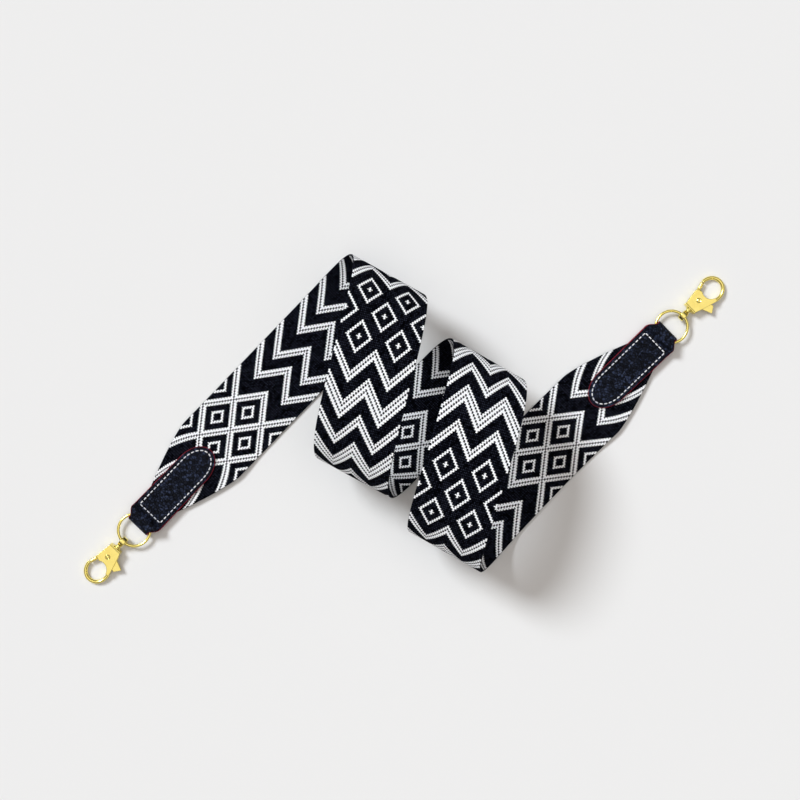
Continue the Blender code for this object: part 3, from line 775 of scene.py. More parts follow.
def cast(piece: bpy.types.Object, grain: float, rounds: int) -> None:
    """Give a metal piece the soft edges of a polished casting.

    Args:
        piece: The piece.
        grain: The size of its new faces.
        rounds: How often its edges are smoothed.
    """
    apply_modifier(piece, "REMESH", mode="VOXEL", voxel_size=grain, use_smooth_shade=True)
    apply_modifier(piece, "SMOOTH", factor=0.5, iterations=rounds)


def finish_piece(piece: bpy.types.Object, body: str, node: str,
                 made: bpy.types.Material) -> bpy.types.Object:
    """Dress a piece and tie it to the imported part.

    Args:
        piece: The piece.
        body: The body that it moves with.
        node: The node that it stands for.
        made: Its material.

    Returns:
        The same piece.
    """
    piece.data.materials.append(made)
    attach(piece, body)
    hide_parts(node)
    log.info("%s stands for %s on %s: %d faces", piece.name, node, body, len(piece.data.polygons))
    return piece


def joint_of(name: str) -> dict:
    """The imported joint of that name."""
    return next(joint for joint in frame["joints"] if joint["name"] == name)


def frame_of(along: Vector, across: Vector, origin: Vector) -> Matrix:
    """A frame from its X and Y directions and its origin.

    Args:
        along: The X direction.
        across: The Y direction.
        origin: The place of its zero.

    Returns:
        The frame's matrix.
    """
    up = along.cross(across)
    turn = Matrix((along, across, up)).transposed().to_4x4()
    return Matrix.Translation(origin) @ turn


def end_frame(end: End) -> Matrix:
    """The frame of one end: its origin on the table under the fold's edge, X away from the webbing.

    Args:
        end: Which end.

    Returns:
        The frame's matrix.
    """
    joint = joint_of(f"{end.value}_ring_swing")
    across = -Vector(joint["axis"]).normalized()
    along = across.cross(Vector((0, 0, 1)))
    axis = Vector(joint["pos_m"])
    return frame_of(along, across, Vector((axis.x, axis.y, 0.0)) - RING_AXIS * along)


def clasp_frame(end: End) -> Matrix:
    """The frame of one clasp: its origin in the ring's wire, X along the clasp, Y towards its gate.

    Args:
        end: Which end.

    Returns:
        The frame's matrix.
    """
    swivel = joint_of(f"{end.value}_hook_swivel")
    up = -Vector(joint_of(f"{end.value}_gate_swing")["axis"]).normalized()
    along = Vector(swivel["axis"]).normalized()
    return frame_of(along, up.cross(along), Vector(swivel["pos_m"]))


@dataclass
class LevelRun:
    """A stretch of webbing that lies level, and may turn gently in its own plane at first."""

    start: float
    origin: np.ndarray
    along: np.ndarray
    across: np.ndarray
    base: float
    turn: float = 0.0
    turn_run: float = 0.095

    def points(self, s: np.ndarray, u: np.ndarray) -> np.ndarray:
        """Points in space of places on the flat webbing.

        Args:
            s: Places along it.
            u: Places across it.

        Returns:
            One row of three coordinates for each place.
        """
        run = s - self.start
        if self.turn:
            bent = np.minimum(run, self.turn_run)
            angle = math.radians(self.turn) * bent / self.turn_run
            radius = self.turn_run / math.radians(self.turn)
            ahead = radius * np.sin(angle) + (run - bent) * np.cos(angle) + u * np.sin(angle)
            aside = -radius * (1 - np.cos(angle)) - (run - bent) * np.sin(angle) + u * np.cos(angle)
        else:
            ahead, aside = run, u
        plan = self.origin + ahead[:, None] * self.along + aside[:, None] * self.across
        return np.column_stack([plan, np.full(len(s), self.base)])


@dataclass
class HalfTurn:
    """A half turn of the webbing between the table and a loop's crown."""

    start: float
    origin: np.ndarray
    along: np.ndarray
    across: np.ndarray
    heading: float
    crown_arc: float
    rising: bool
    base: float
    foot_arc: float = 0.0557
    crown_power: float = 1.5
    profile_steps: int = 2000

    def __post_init__(self) -> None:
        """Work out the fold's directions and its profile."""
        angle = math.radians(self.heading)
        self.axis = np.array([math.cos(angle), math.sin(angle)])
        self.out = np.array([-self.axis[1], self.axis[0]])
        if self.out @ self.along < 0:
            self.out = -self.out
        self.arc = self.foot_arc + self.crown_arc
        step = self.arc / self.profile_steps
        arcs = (np.arange(self.profile_steps) + 0.5) * step
        left_over = np.clip((self.arc - arcs) / self.crown_arc, 0.0, 1.0)
        crown = math.pi - 0.5 * math.pi * left_over**self.crown_power
        bend = np.where(arcs < self.foot_arc, 0.5 * math.pi * arcs / self.foot_arc, crown)
        self.reach = np.concatenate([[0.0], np.cumsum(np.cos(bend)) * step])
        self.height = np.concatenate([[0.0], np.cumsum(np.sin(bend)) * step])
        if not self.rising:
            self.reach = self.reach[::-1] - self.reach[-1]
            self.height = self.height[::-1] - self.height[-1]
        self.place = np.linspace(0.0, self.arc, self.profile_steps + 1)

    def lean(self) -> float:
        """How far along the webbing a line across the fold runs for each unit across it."""
        return -(self.across @ self.out) / (self.along @ self.out)

    def length(self) -> float:
        """The webbing's length through the fold, along its middle."""
        return self.arc / (self.along @ self.out)

    def arcs(self, s: np.ndarray, u: np.ndarray) -> np.ndarray:
        """Arc lengths into the fold of places on the flat webbing.

        Args:
            s: Places along it.
            u: Places across it.

        Returns:
            One arc length for each place.
        """
        return (s - self.start) * (self.along @ self.out) + u * (self.across @ self.out)

    def points(self, s: np.ndarray, u: np.ndarray) -> np.ndarray:
        """Points in space of places on the flat webbing.

        Args:
            s: Places along it.
            u: Places across it.

        Returns:
            One row of three coordinates for each place.
        """
        side = (s - self.start) * (self.along @ self.axis) + u * (self.across @ self.axis)
        arc = self.arcs(s, u)
        reach = np.interp(arc, self.place, self.reach)
        plan = self.origin + side[:, None] * self.axis + reach[:, None] * self.out
        return np.column_stack([plan, self.base + np.interp(arc, self.place, self.height)])

    def after(self) -> LevelRun:
        """The level run that follows, with no turn of its own.

        Returns:
            The run.
        """
        start = self.start + self.length()
        place = self.points(np.array([start]), np.array([0.0]))[0]
        along = (self.along @ self.axis) * self.axis - (self.along @ self.out) * self.out
        across = (self.across @ self.axis) * self.axis - (self.across @ self.out) * self.out
        return LevelRun(start, place[:2], along, across, place[2])


@dataclass
class Webbing:
    """The woven band with its two sides, its ribs and its rounded selvedges."""

    length: float = 0.9248
    width: float = 0.050
    thickness: float = 0.0015
    first_place: Point = (-0.163537, -0.059971)
    first_heading: float = 46.1
    runs: tuple[float, ...] = (0.1767, 0.0020, 0.0339, 0.0020)
    headings: tuple[float, ...] = (-28.95, -28.5, -29.8, -29.7)
    crown_arcs: tuple[float, ...] = (0.0813, 0.0813, 0.0786, 0.0786)
    last_turn: float = 3.2
    taper_run: float = 0.048
    taper_power: float = 1.3
    tucked_width: float = 0.0205
    in_tab: float = 0.0571
    seat_gap: float = 0.0003
    leather: float = 0.0012
    column_pitch: float = 0.001105
    rib_depth: float = 0.00016
    selvedge_sides: int = 5
    selvedge_column: float = 24.0
    row_gap: float = 0.0021
    first_block: float = 0.0750
    row_unit: float = 0.0001048
    row_marks: tuple[tuple[float, float], ...] = (
        (0.0, 0.0), (16.5, 225.0), (31.5, 431.0), (43.5, 601.0), (58.5, 816.0), (70.5, 986.0),
        (85.5, 1201.0), (97.5, 1371.0), (112.5, 1586.0), (124.5, 1756.0), (141.0, 1981.0),
        (157.5, 2206.0), (169.5, 2376.0), (184.5, 2591.0), (196.5, 2761.0), (211.5, 2976.0),
        (223.5, 3146.0), (238.5, 3361.0), (255.0, 3586.0))
    stretches: list = field(default_factory=list)

    def route(self) -> None:
        """Lay the stretches one after another, from the left end to the right end."""
        angle = math.radians(self.first_heading)
        along = np.array([math.cos(angle), math.sin(angle)])
        level = LevelRun(0.0, np.array(self.first_place), along, np.array([-along[1], along[0]]),
                         self.thickness / 2)
        for number, (run, heading, crown) in enumerate(zip(self.runs, self.headings, self.crown_arcs)):
            self.stretches.append(level)
            fold = HalfTurn(level.start + run, level.origin + run * level.along, level.along, level.across,
                            heading, crown, number % 2 == 0, level.base)
            self.stretches.append(fold)
            level = fold.after()
        level.turn = self.last_turn
        self.stretches.append(level)

    def points(self, s: np.ndarray, u: np.ndarray) -> np.ndarray:
        """Points in space of the middle of the webbing's thickness.

        Args:
            s: Places along the flat webbing.
            u: Places across it.

        Returns:
            One row of three coordinates for each place.
        """
        from_end = np.minimum(s, self.length - s)
        gone = np.clip((self.in_tab + self.seat_gap - from_end) / self.taper_run, 0.0, 1.0)
        u = u * (1 - gone**self.taper_power * (1 - self.tucked_width / self.width))
        share = np.clip((from_end - self.in_tab - self.seat_gap) / (self.taper_run / 2), 0.0, 1.0)
        lift = (1 - share * share * (3 - 2 * share)) * (self.leather + self.seat_gap)
        found = np.zeros((len(s), 3))
        ahead = np.ones(len(s), bool)
        for level, fold in zip(self.stretches[0::2], self.stretches[1::2]):
            arcs = fold.arcs(s, u)
            on_level, on_fold = ahead & (arcs < 0), ahead & (arcs >= 0) & (arcs <= fold.arc)
            found[on_level] = level.points(s[on_level], u[on_level])
            found[on_level, 2] += lift[on_level]
            found[on_fold] = fold.points(s[on_fold], u[on_fold])
            ahead &= arcs > fold.arc
        found[ahead] = self.stretches[-1].points(s[ahead], u[ahead])
        found[ahead, 2] += lift[ahead]
        return found

    def normals(self, s: np.ndarray, u: np.ndarray) -> np.ndarray:
        """The directions that the webbing's face looks in.

        Args:
            s: Places along the flat webbing.
            u: Places across it.

        Returns:
            One unit vector for each place.
        """
        step = self.thickness / 10
        inner = np.clip(s, step, self.length - step)
        along = self.points(inner + step, u) - self.points(inner - step, u)
        across = self.points(inner, u + step) - self.points(inner, u - step)
        found = np.cross(along, across)
        return found / np.linalg.norm(found, axis=1)[:, None]

    def rows(self) -> list[Point]:
        """Lines across the webbing, each a place along its middle and a lean, evenly spaced.

        Returns:
            The place and the lean of each.
        """
        marks = [(0.0, 0.0), (self.in_tab + self.taper_run / 2, 0.0)]
        for fold in self.stretches[1::2]:
            marks += [(fold.start, fold.lean()), (fold.start + fold.length(), fold.lean())]
        marks += [(self.length - marks[1][0], 0.0), (self.length, 0.0)]
        found = [marks[0]]
        for (here, lean), (there, next_lean) in zip(marks, marks[1:]):
            count = max(1, math.ceil((there - here) / self.row_gap))
            for step in range(1, count + 1):
                share = step / count
                found.append((here + share * (there - here), lean + share * (next_lean - lean)))
        return found

    def section(self) -> list[tuple[float, float, WebbingSide | None]]:
        """The band's cross section, once round.

        Returns:
            The place across, the height and the side that the stretch from there belongs to.
        """
        half, painted_crest_highlight = self.width / 2, self.thickness / 2
        steps = 2 * WebbingFinish().columns_each_side + 1
        ribs = [(step / 2 * self.column_pitch, painted_crest_highlight - (self.rib_depth if step % 2 else 0.0))
                for step in range(steps, -steps - 1, -1)]
        edge = half - ribs[0][0]
        turn = [math.radians(90 - 180 * (step + 0.5) / self.selvedge_sides)
                for step in range(self.selvedge_sides)]
        low = painted_crest_highlight - self.rib_depth
        round_edge = [(half - edge * (1 - math.cos(angle)), low * math.sin(angle)) for angle in turn]
        found = [(place, height, WebbingSide.FACE) for place, height in ribs]
        found[-1] = (*ribs[-1], None)
        found += [(-place, height, None) for place, height in round_edge]
        found += [(-place, -height, WebbingSide.REVERSE) for place, height in ribs]
        found[-1] = (-ribs[-1][0], -ribs[-1][1], None)
        found += [(place, -height, None) for place, height in round_edge]
        return found

    def stitch_rows(self, s: np.ndarray) -> np.ndarray:
        """Stitch rows, counted from the first block's middle.

        Args:
            s: Places along the webbing.

        Returns:
            The row at each.
        """
        marks = np.array(self.row_marks)
        units = (s - self.first_block) / self.row_unit
        turns = np.floor(units / marks[-1, 1])
        return turns * marks[-1, 0] + np.interp(units - turns * marks[-1, 1], marks[:, 1], marks[:, 0])

    def build(self, wardrobe: Wardrobe) -> bpy.types.Object:
        """Make the band.

        Args:
            wardrobe: The finishes.

        Returns:
            The piece.
        """
        self.route()
        rows, section = self.rows(), self.section()
        across = np.tile([place for place, _, _ in section], len(rows))
        height = np.tile([rise for _, rise, _ in section], len(rows))
        middle = np.repeat([place for place, _ in rows], len(section))
        s = np.clip(middle + np.repeat([lean for _, lean in rows], len(section)) * across, 0.0, self.length)
        spots = self.points(s, across) + height[:, None] * self.normals(s, across)
        wide = len(section)
        faces, maps = [], []
        stitch = self.stitch_rows(s)
        for row in range(len(rows) - 1):
            for side in range(wide):
                ahead = (side + 1) % wide
                corners = (row * wide + side, row * wide + ahead,
                           (row + 1) * wide + ahead, (row + 1) * wide + side)
                faces.append(corners)
                kind = section[side][2]
                for corner in corners:
                    column = across[corner] / self.column_pitch
                    plain = math.copysign(self.selvedge_column, column)
                    place = plain if kind is None else column + kind.value
                    maps.append((place, stitch[corner]))
        last = (len(rows) - 1) * wide
        faces += [tuple(range(wide - 1, -1, -1)), tuple(range(last, last + wide))]
        maps += [(self.selvedge_column, 0.0)] * (2 * wide)
        mesh = bpy.data.meshes.new("woven_band")
        mesh.from_pydata(spots.tolist(), [], faces)
        layer = mesh.uv_layers.new(name="stitches")
        layer.data.foreach_set("uv", np.array(maps, np.float32).ravel())
        mesh.shade_smooth()
        piece = bpy.data.objects.new("woven_band", mesh)
        bpy.context.scene.collection.objects.link(piece)
        finish_piece(piece, "strap", "webbing", wardrobe.webbing)
        return piece


@dataclass
class LeatherTab:
    """A strip of leather folded round the ring, with its painted edges and its stitches."""

    end: End
    thickness: float = 0.0012
    length: float = 0.0683
    middle_half: float = 0.0115
    shoulder_half: float = 0.0119
    fold_half: float = 0.0081
    tip_length: float = 0.0165
    shoulder_place: float = 0.0082
    neck_length: float = 0.0020
    fold_height: float = 0.0079068
    flat_top: float = 0.0045
    hump_top_run: float = 0.0030
    hump_run: float = 0.0036
    strips: int = 18
    grain: float = 0.0003
    edge_rounds: int = 3
    stitch_margin: float = 0.0026
    stitch_box: float = 0.0120
    stitch_pitch: float = 0.0030
    stitch_length: float = 0.0021
    thread: float = 0.00038
    tip_angles: tuple[int, ...] = (87, 84, 80, *range(75, 0, -6))
    fold_angles: tuple[int, ...] = tuple(range(-80, 81, 10))
    flat_stops: Point = (-0.0125, -0.0112)
    flat_steps: tuple[int, int] = (12, 9)
    stitch_ends: tuple[tuple[float, float, float], ...] = (
        (0.30, 0.00008, 0.92), (0.15, 0.00012, 0.72), (0.05, 0.00010, 0.5))

    def half_width(self, x: float) -> float:
        """Half the tab's width at a distance from its fold, where x is negative.

        Args:
            x: The place, from the fold's edge.

        Returns:
            Half the width there.
        """
        tip_start = self.tip_length - self.length
        if x > -self.neck_length:
            return self.fold_half
        if x > -self.shoulder_place:
            share = (-x - self.neck_length) / (self.shoulder_place - self.neck_length)
            return self.fold_half + eased(share) * (self.shoulder_half - self.fold_half)
        if x > tip_start:
            share = (-x - self.shoulder_place) / (-tip_start - self.shoulder_place)
            return self.shoulder_half + share * (self.middle_half - self.shoulder_half)
        share = min((tip_start - x) / self.tip_length, 1.0)
        return self.middle_half * math.sqrt(1 - share * share)

    def path(self) -> list[Point]:
        """The middle of the leather seen from the side, from the lower tip round to the upper tip.

        Returns:
            The points along x and z.
        """
        tip_start = self.tip_length - self.length
        tip = [tip_start - self.tip_length * math.sin(math.radians(angle)) for angle in self.tip_angles]
        middle_height = self.fold_height / 2
        (far, near), (far_steps, near_steps) = self.flat_stops, self.flat_steps
        flat = [*np.linspace(tip_start, far, far_steps), *np.linspace(near, -middle_height, near_steps)]
        lower = [(x, self.thickness / 2) for x in (*tip, *flat)]
        radius = middle_height - self.thickness / 2
        turn = [(-middle_height + radius * math.cos(math.radians(angle)),
                 middle_height + radius * math.sin(math.radians(angle))) for angle in self.fold_angles]
        upper = [(x, self.upper_height(x)) for x in (*flat[::-1], *tip[::-1])]
        return lower + turn + upper

    def upper_height(self, x: float) -> float:
        """Height of the upper ply's middle: high over the ring's wire, and flat from the hump on.

        Args:
            x: The place, from the fold's edge.

        Returns:
            The height there.
        """
        fall = -self.fold_height / 2 - self.hump_top_run
        drop = eased((fall - x) / self.hump_run)
        return self.fold_height - self.thickness / 2 - drop * (self.fold_height - self.flat_top)

    def build(self, wardrobe: Wardrobe) -> bpy.types.Object:
        """Make the folded leather.

        Args:
            wardrobe: The finishes.

        Returns:
            The piece.
        """
        path = self.path()
        (x, z), (next_x, _) = path[0], path[1]
        width = 2 * self.half_width(x)
        deselect_all()
        middle = Vector(((x + next_x) / 2, 0, z))
        bpy.ops.mesh.primitive_plane_add(size=1, location=middle)
        piece = started(f"{self.end.value}_folded_tab")
        with editing(piece, "EDGE"):
            bpy.ops.mesh.select_all(action="SELECT")
            bpy.ops.transform.resize(value=(next_x - x, width, 1), center_override=middle)
            pick(piece, "edges", lambda middle: abs(middle.y) < width / 4)
            bpy.ops.mesh.subdivide(number_cuts=self.strips - 1)
            pick(piece, "verts", lambda middle: middle.x > (x + next_x) / 2)
            here = (next_x, z)
            share = self.half_width(next_x) * 2 / width
            bpy.ops.transform.resize(value=(1, share, 1), center_override=(next_x, 0, z))
            bpy.ops.mesh.select_mode(type="EDGE")
            for there in path[2:]:
                step = (there[0] - here[0], 0, there[1] - here[1])
                bpy.ops.mesh.extrude_edges_move(TRANSFORM_OT_translate={"value": step})
                share = self.half_width(there[0]) / self.half_width(here[0])
                bpy.ops.transform.resize(value=(1, share, 1), center_override=(there[0], 0, there[1]))
                here = there
            tidy_shell()
        apply_modifier(piece, "SOLIDIFY", thickness=self.thickness, offset=0.0, use_even_offset=True)
        cast(piece, self.grain, self.edge_rounds)
        self.map_margin(piece)
        turned(piece, end_frame(self.end))
        node = f"{self.end.value}_leather_tab"
        return finish_piece(piece, "strap", node, wardrobe.leather)

    def margin(self, place: Vector) -> float:
        """How far a place on the leather, seen from above, lies from its cut edge.

        Args:
            place: The place in the tab's own frame.

        Returns:
            The distance in metres.
        """
        beyond, aside = self.tip_length - self.length - place.x, abs(place.y)
        if beyond <= 0:
            return self.half_width(place.x) - aside
        share = math.hypot(beyond / self.tip_length, aside / self.middle_half)
        return math.hypot(beyond, aside) * (1 / share - 1)

    def map_margin(self, piece: bpy.types.Object) -> None:
        """Give the piece a map of its margin in millimetres, which the edge paint is placed by.

        Args:
            piece: The piece, before it is laid in its place.
        """
        margins = np.array([1000 * self.margin(corner.co) for corner in piece.data.vertices], np.float32)
        corners = np.zeros(len(piece.data.loops), np.int32)
        piece.data.loops.foreach_get("vertex_index", corners)
        layer = piece.data.uv_layers.new(name="margin")
        layer.data.foreach_set("uv", np.column_stack([margins[corners], np.zeros(len(corners))]).ravel())

    def stitch_places(self) -> list[tuple[Vector, float]]:
        """The middle and heading of each stitch round the upper ply.

        Returns:
            The middle and the heading of each.
        """
        half, tip_start = self.middle_half - self.stitch_margin, self.tip_length - self.length
        tip, box = self.tip_length - self.stitch_margin, -self.stitch_box
        turns = [math.radians(angle) for angle in range(0, 181, 3)]
        arc = [(tip_start - tip * math.sin(turn), half * math.cos(turn)) for turn in turns]
        legs = ([(box, -half), (box, half)], [(box, half), (tip_start, half)], arc,
                [(tip_start, -half), (box, -half)])
        found = []
        for leg in legs:
            corners = np.array(leg)
            runs = np.concatenate([[0.0], np.cumsum(np.linalg.norm(np.diff(corners, axis=0), axis=1))])
            count = round(runs[-1] / self.stitch_pitch)
            for number in range(count):
                middle = (number + 0.5) / count * runs[-1]
                ends = [middle + side * self.stitch_length / 2 for side in (-1, 1)]
                low, high = (Vector([np.interp(end, runs, corners[:, place]) for place in (0, 1)])
                             for end in ends)
                leap = high - low
                found.append(((low + high) / 2, math.atan2(leap.y, leap.x)))
        return found

    def stitches(self, wardrobe: Wardrobe) -> bpy.types.Object:
        """Make the stitches: one is shaped, and copies of it follow the line.

        Args:
            wardrobe: The finishes.

        Returns:
            The piece.
        """
        half = self.stitch_length / 2
        deselect_all()
        bpy.ops.mesh.primitive_cylinder_add(vertices=8, radius=self.thread, depth=half,
                                            rotation=(0, math.pi / 2, 0))
        model = started("stitch")
        with editing(model):
            for side in (-1, 1):
                pick(model, "faces", lambda middle, side=side: side * middle.x > half / 2 - 1e-6)
                place = side * half / 2
                for run, drop, share in self.stitch_ends:
                    step = (side * run * half, 0, -drop)
                    bpy.ops.mesh.extrude_region_move(TRANSFORM_OT_translate={"value": step})
                    place += step[0]
                    bpy.ops.transform.resize(value=(1, share, share), center_override=(place, 0, -drop))
            tidy_shell()
        copies = []
        for middle, heading in self.stitch_places():
            copy = bpy.data.objects.new("stitch_copy", model.data.copy())
            bpy.context.scene.collection.objects.link(copy)
            place = Vector((middle.x, middle.y, self.flat_top + self.thread * 0.25))
            turned(copy, Matrix.Translation(place) @ Matrix.Rotation(heading, 4, "Z"))
            copies.append(copy)
        bpy.data.objects.remove(model, do_unlink=True)
        deselect_all()
        for copy in copies:
            copy.select_set(True)
        bpy.context.view_layer.objects.active = copies[0]
        bpy.ops.object.join()
        piece = copies[0]
        piece.name = piece.data.name = f"{self.end.value}_saddle_stitches"
        piece.data.shade_smooth()
        turned(piece, end_frame(self.end))
        return finish_piece(piece, "strap", f"{self.end.value}_stitching", wardrobe.thread)


@dataclass
class RoundRing:
    """The round ring in the leather's fold."""

    end: End
    radius: float = 0.0102
    wire: float = 0.00095
    centre_x: float = 0.0029
    height: float = 0.0039534
    wire_sides: int = 28
    turns: int = 120

    def build(self, wardrobe: Wardrobe) -> bpy.types.Object:
        """Make the ring by spinning the wire's section.

        Args:
            wardrobe: The finishes.

        Returns:
            The piece.
        """
        deselect_all()
        centre = Vector((self.centre_x, 0.0, self.height))
        start = centre + Vector((self.radius, 0, 0))
        bpy.ops.mesh.primitive_circle_add(vertices=self.wire_sides, radius=self.wire, location=start,
                                          rotation=(math.pi / 2, 0, 0))
        piece = started(f"{self.end.value}_round_ring")
        with editing(piece, "EDGE"):
            bpy.ops.mesh.select_all(action="SELECT")
            bpy.ops.mesh.spin(steps=self.turns, angle=2 * math.pi, center=centre, axis=(0, 0, 1))
            tidy_shell()
        piece.data.shade_smooth()
        turned(piece, end_frame(self.end))
        body = node = f"{self.end.value}_ring"
        return finish_piece(piece, body, node, wardrobe.gold)


@dataclass
class SwivelClasp:
    """The swivel eye, the hook with its round bow, the sprung gate lever and its rivet."""

    end: End
    eye_radius: float = 0.0032
    eye_hole: float = 0.00125
    eye_width: float = 0.0038
    neck: float = 0.0017
    post: float = 0.00105
    post_head: float = 0.0017
    lip_start: float = 0.0058
    lip_length: float = 0.0009
    lip_overhang: float = 0.0003
    end_wall: float = 0.0024
    body_half: float = 0.0023
    slot_half: float = 0.00125
    lever_half: float = 0.00115
    gate_half: float = 0.00135
    hub: float = 0.0026
    pivot: Point = (0.0137, 0.0001)
    pin: float = 0.0009
    pin_head: float = 0.0017
    pin_head_height: float = 0.0003
    running_gap: float = 0.0001
    bow_centre: Point = (0.0250, -0.0006)
    bow_radii: Point = (0.0079, 0.0073)
    bow_band: Point = (0.0025, 0.0030)
    bow_angles: Point = (-140.0, 92.0)
    gate_root: Point = (0.01905, 0.0050)
    gate_length: float = 0.0053
    gate_width: float = 0.0023
    gate_lean: float = 16.5
    pocket: float = 0.0019
    pocket_floor: float = 0.0002
    groove_sides: Point = (0.00105, 0.00185)
    groove_ends: Point = (-0.0066, 0.0029)
    opening: float = 25.0
    step: float = 0.00002
    grain: float = 0.00011
    fine_grain: Point = (0.7, 0.8)
    cast_rounds: tuple[int, int, int] = (3, 8, 4)
    eye_round: float = 0.0007
    neck_sink: Point = (0.0008, 0.0003)
    neck_shares: tuple[float, ...] = (1.15, 0.9, 0.92, 1.35)
    collar: Point = (0.0010, 0.0008)
    post_head_length: float = 0.0010
    post_room_end: float = 0.0096
    slot_run: Point = (0.0093, 0.0187)
    gate_slot_run: Point = (0.0150, 0.0222)
    gate_slot_low: float = -0.0026
    clear: float = 0.02
    gate_round: float = 0.0008
    head_steps: tuple[Point, ...] = (
        (0.95, 0.06), (0.90, 0.30), (0.85, 0.42), (0.80, 0.45), (0.10, 0.61), (0.05, 0.63), (0.10, 0.65),
        (0.80, 0.81), (0.90, 0.85), (0.85, 0.92), (0.50, 1.0), (0.0, 1.0))
    outline: tuple[Point, ...] = (
        (0.00625, -0.0038), (0.0119, -0.0057), (0.0205, -0.00815), (0.0226, -0.0083), (0.0226, -0.0050),
        (0.0180, 0.00605), (0.00625, 0.0045))
    thumb: tuple[Point, ...] = (
        (0.0113, 0.0004), (0.0115, -0.0052), (0.0144, -0.0119), (0.0184, -0.0090), (0.0173, -0.0040),
        (0.0161, 0.0004))

    def named(self, piece: str) -> str:
        """A piece's name at this end."""
        return f"{self.end.value}_{piece}"

    def rod(self, name: str, radius: float, half_length: float, centre: Sequence[float],
            axis: str) -> bpy.types.Object:
        """A round cutter about one axis.

        Args:
            name: Its name.
            radius: Its radius.
            half_length: Half its length.
            centre: Its middle.
            axis: X, Y or Z.

        Returns:
            The cutter.
        """
        turns = {"X": (0, math.pi / 2, 0), "Y": (math.pi / 2, 0, 0), "Z": (0, 0, 0)}
        deselect_all()
        bpy.ops.mesh.primitive_cylinder_add(vertices=40, radius=radius, depth=2 * half_length,
                                            location=centre, rotation=turns[axis])
        return started(name)

    def eye(self, wardrobe: Wardrobe) -> bpy.types.Object:
        """Make the swivel eye: a rounded barrel across the ring's wire, its neck and its headed post.

        Args:
            wardrobe: The finishes.

        Returns:
            The piece.
        """
        piece = self.rod(self.named("swivel"), self.eye_radius, self.eye_width / 2, (0, 0, 0), "Y")
        with editing(piece, "EDGE"):
            pick(piece, "edges", lambda middle: abs(abs(middle.y) - self.eye_width / 2) < 1e-6)
            bpy.ops.mesh.bevel(offset=self.eye_round, segments=4, affect="EDGES")
        head = self.lip_start + self.end_wall + self.running_gap
        neck_end = self.lip_start - self.running_gap
        root, waist, narrow, wide = (self.neck * share for share in self.neck_shares)
        (sink, rise), (collar_start, collar_edge) = self.neck_sink, self.collar
        profile = [(self.eye_radius - sink, root), (self.eye_radius + rise, waist),
                   (neck_end - collar_start, narrow), (neck_end - collar_edge, wide),
                   (neck_end, wide), (neck_end, self.post), (head, self.post),
                   (head, self.post_head), (head + self.post_head_length, self.post_head)]
        stem = turned(lathe("stem", profile, 36), Matrix.Rotation(math.pi / 2, 4, "Y"))
        combine(piece, stem, "UNION")
        combine(piece, self.rod("hole", self.eye_hole, self.eye_width, (0, 0, 0), "Y"), "DIFFERENCE")
        cast(piece, self.grain * self.fine_grain[0], self.cast_rounds[0])
        turned(piece, clasp_frame(self.end))
        return finish_piece(piece, self.named("eye"), self.named("swivel_eye"), wardrobe.gold)

    def bow(self) -> bpy.types.Object:
        """The hook's round bow: the band's section spun round and drawn out a little along the clasp.

        Returns:
            The bow, still to be joined to the body.
        """
        centre = Vector((*self.bow_centre, 0.0))
        radius = sum(self.bow_radii) / 2
        start, stop = (math.radians(angle) for angle in self.bow_angles)
        deselect_all()
        bpy.ops.mesh.primitive_circle_add(vertices=28, radius=1.0, location=(0, 0, 0),
                                          rotation=(math.pi / 2, 0, 0))
        piece = started("bow")
        band = Matrix.Diagonal((self.bow_band[0] / 2, 1.0, self.bow_band[1] / 2, 1.0))
        turned(piece, Matrix.Translation(centre) @ Matrix.Rotation(start, 4, "Z")
               @ Matrix.Translation((radius, 0, 0)) @ band)
        with editing(piece, "EDGE"):
            bpy.ops.mesh.select_all(action="SELECT")
            bpy.ops.mesh.spin(steps=72, angle=start - stop, center=centre, axis=(0, 0, 1))
            bpy.ops.mesh.select_all(action="SELECT")
            stretch = (self.bow_radii[0] / radius, self.bow_radii[1] / radius, 1)
            bpy.ops.transform.resize(value=stretch, center_override=centre)
            bpy.ops.mesh.select_all(action="DESELECT")
            bpy.ops.mesh.select_mode(type="EDGE")
            bpy.ops.mesh.select_non_manifold(extend=False)
            bpy.ops.mesh.fill()
            tidy_shell()
        return piece

    def hook(self, wardrobe: Wardrobe) -> bpy.types.Object:
        """Make the hook: a flat forked body with a lip at the swivel end and a round bow.

        Args:
            wardrobe: The finishes.

        Returns:
            The piece.
        """
        thick = self.body_half
        deep = 2 * thick
        piece = trimmed_plate(self.named("clasp_body"), self.outline, -thick, thick)
        lip_end = self.lip_start + self.lip_length
        wide, high = self.outline[-1][1] + self.lip_overhang, thick + self.lip_overhang
        low = self.outline[0][1] - self.lip_overhang
        lip = block("lip", (self.lip_start, low, -high), (lip_end, wide, high))
        with editing(lip, "EDGE"):
            pick(lip, "edges", lambda middle: True)
            bpy.ops.mesh.bevel(offset=self.lip_length / 4, segments=3, affect="EDGES")
        combine(piece, lip, "UNION")
        hole = self.rod("bow_hole", 1.0, deep, (0, 0, 0), "Z")
        radii = [radius - self.bow_band[0] / 2 for radius in self.bow_radii]
        turned(hole, Matrix.Translation((*self.bow_centre, 0)) @ Matrix.Diagonal((*radii, 1.0, 1.0)))
        combine(piece, hole, "DIFFERENCE")
        combine(piece, self.bow(), "UNION")
        slot, clear = self.slot_half, self.clear
        for name, (start, stop), below in (("slot", self.slot_run, -clear),
                                           ("gate_slot", self.gate_slot_run, self.gate_slot_low)):
            combine(piece, block(name, (start, below, -slot), (stop, clear, slot)), "DIFFERENCE")
        wall = self.lip_start + self.end_wall
        narrow, wide = self.post + self.running_gap, self.post_head + self.running_gap
        bore = [(0.0, narrow), (wall, narrow), (wall, wide), (self.post_room_end, wide)]
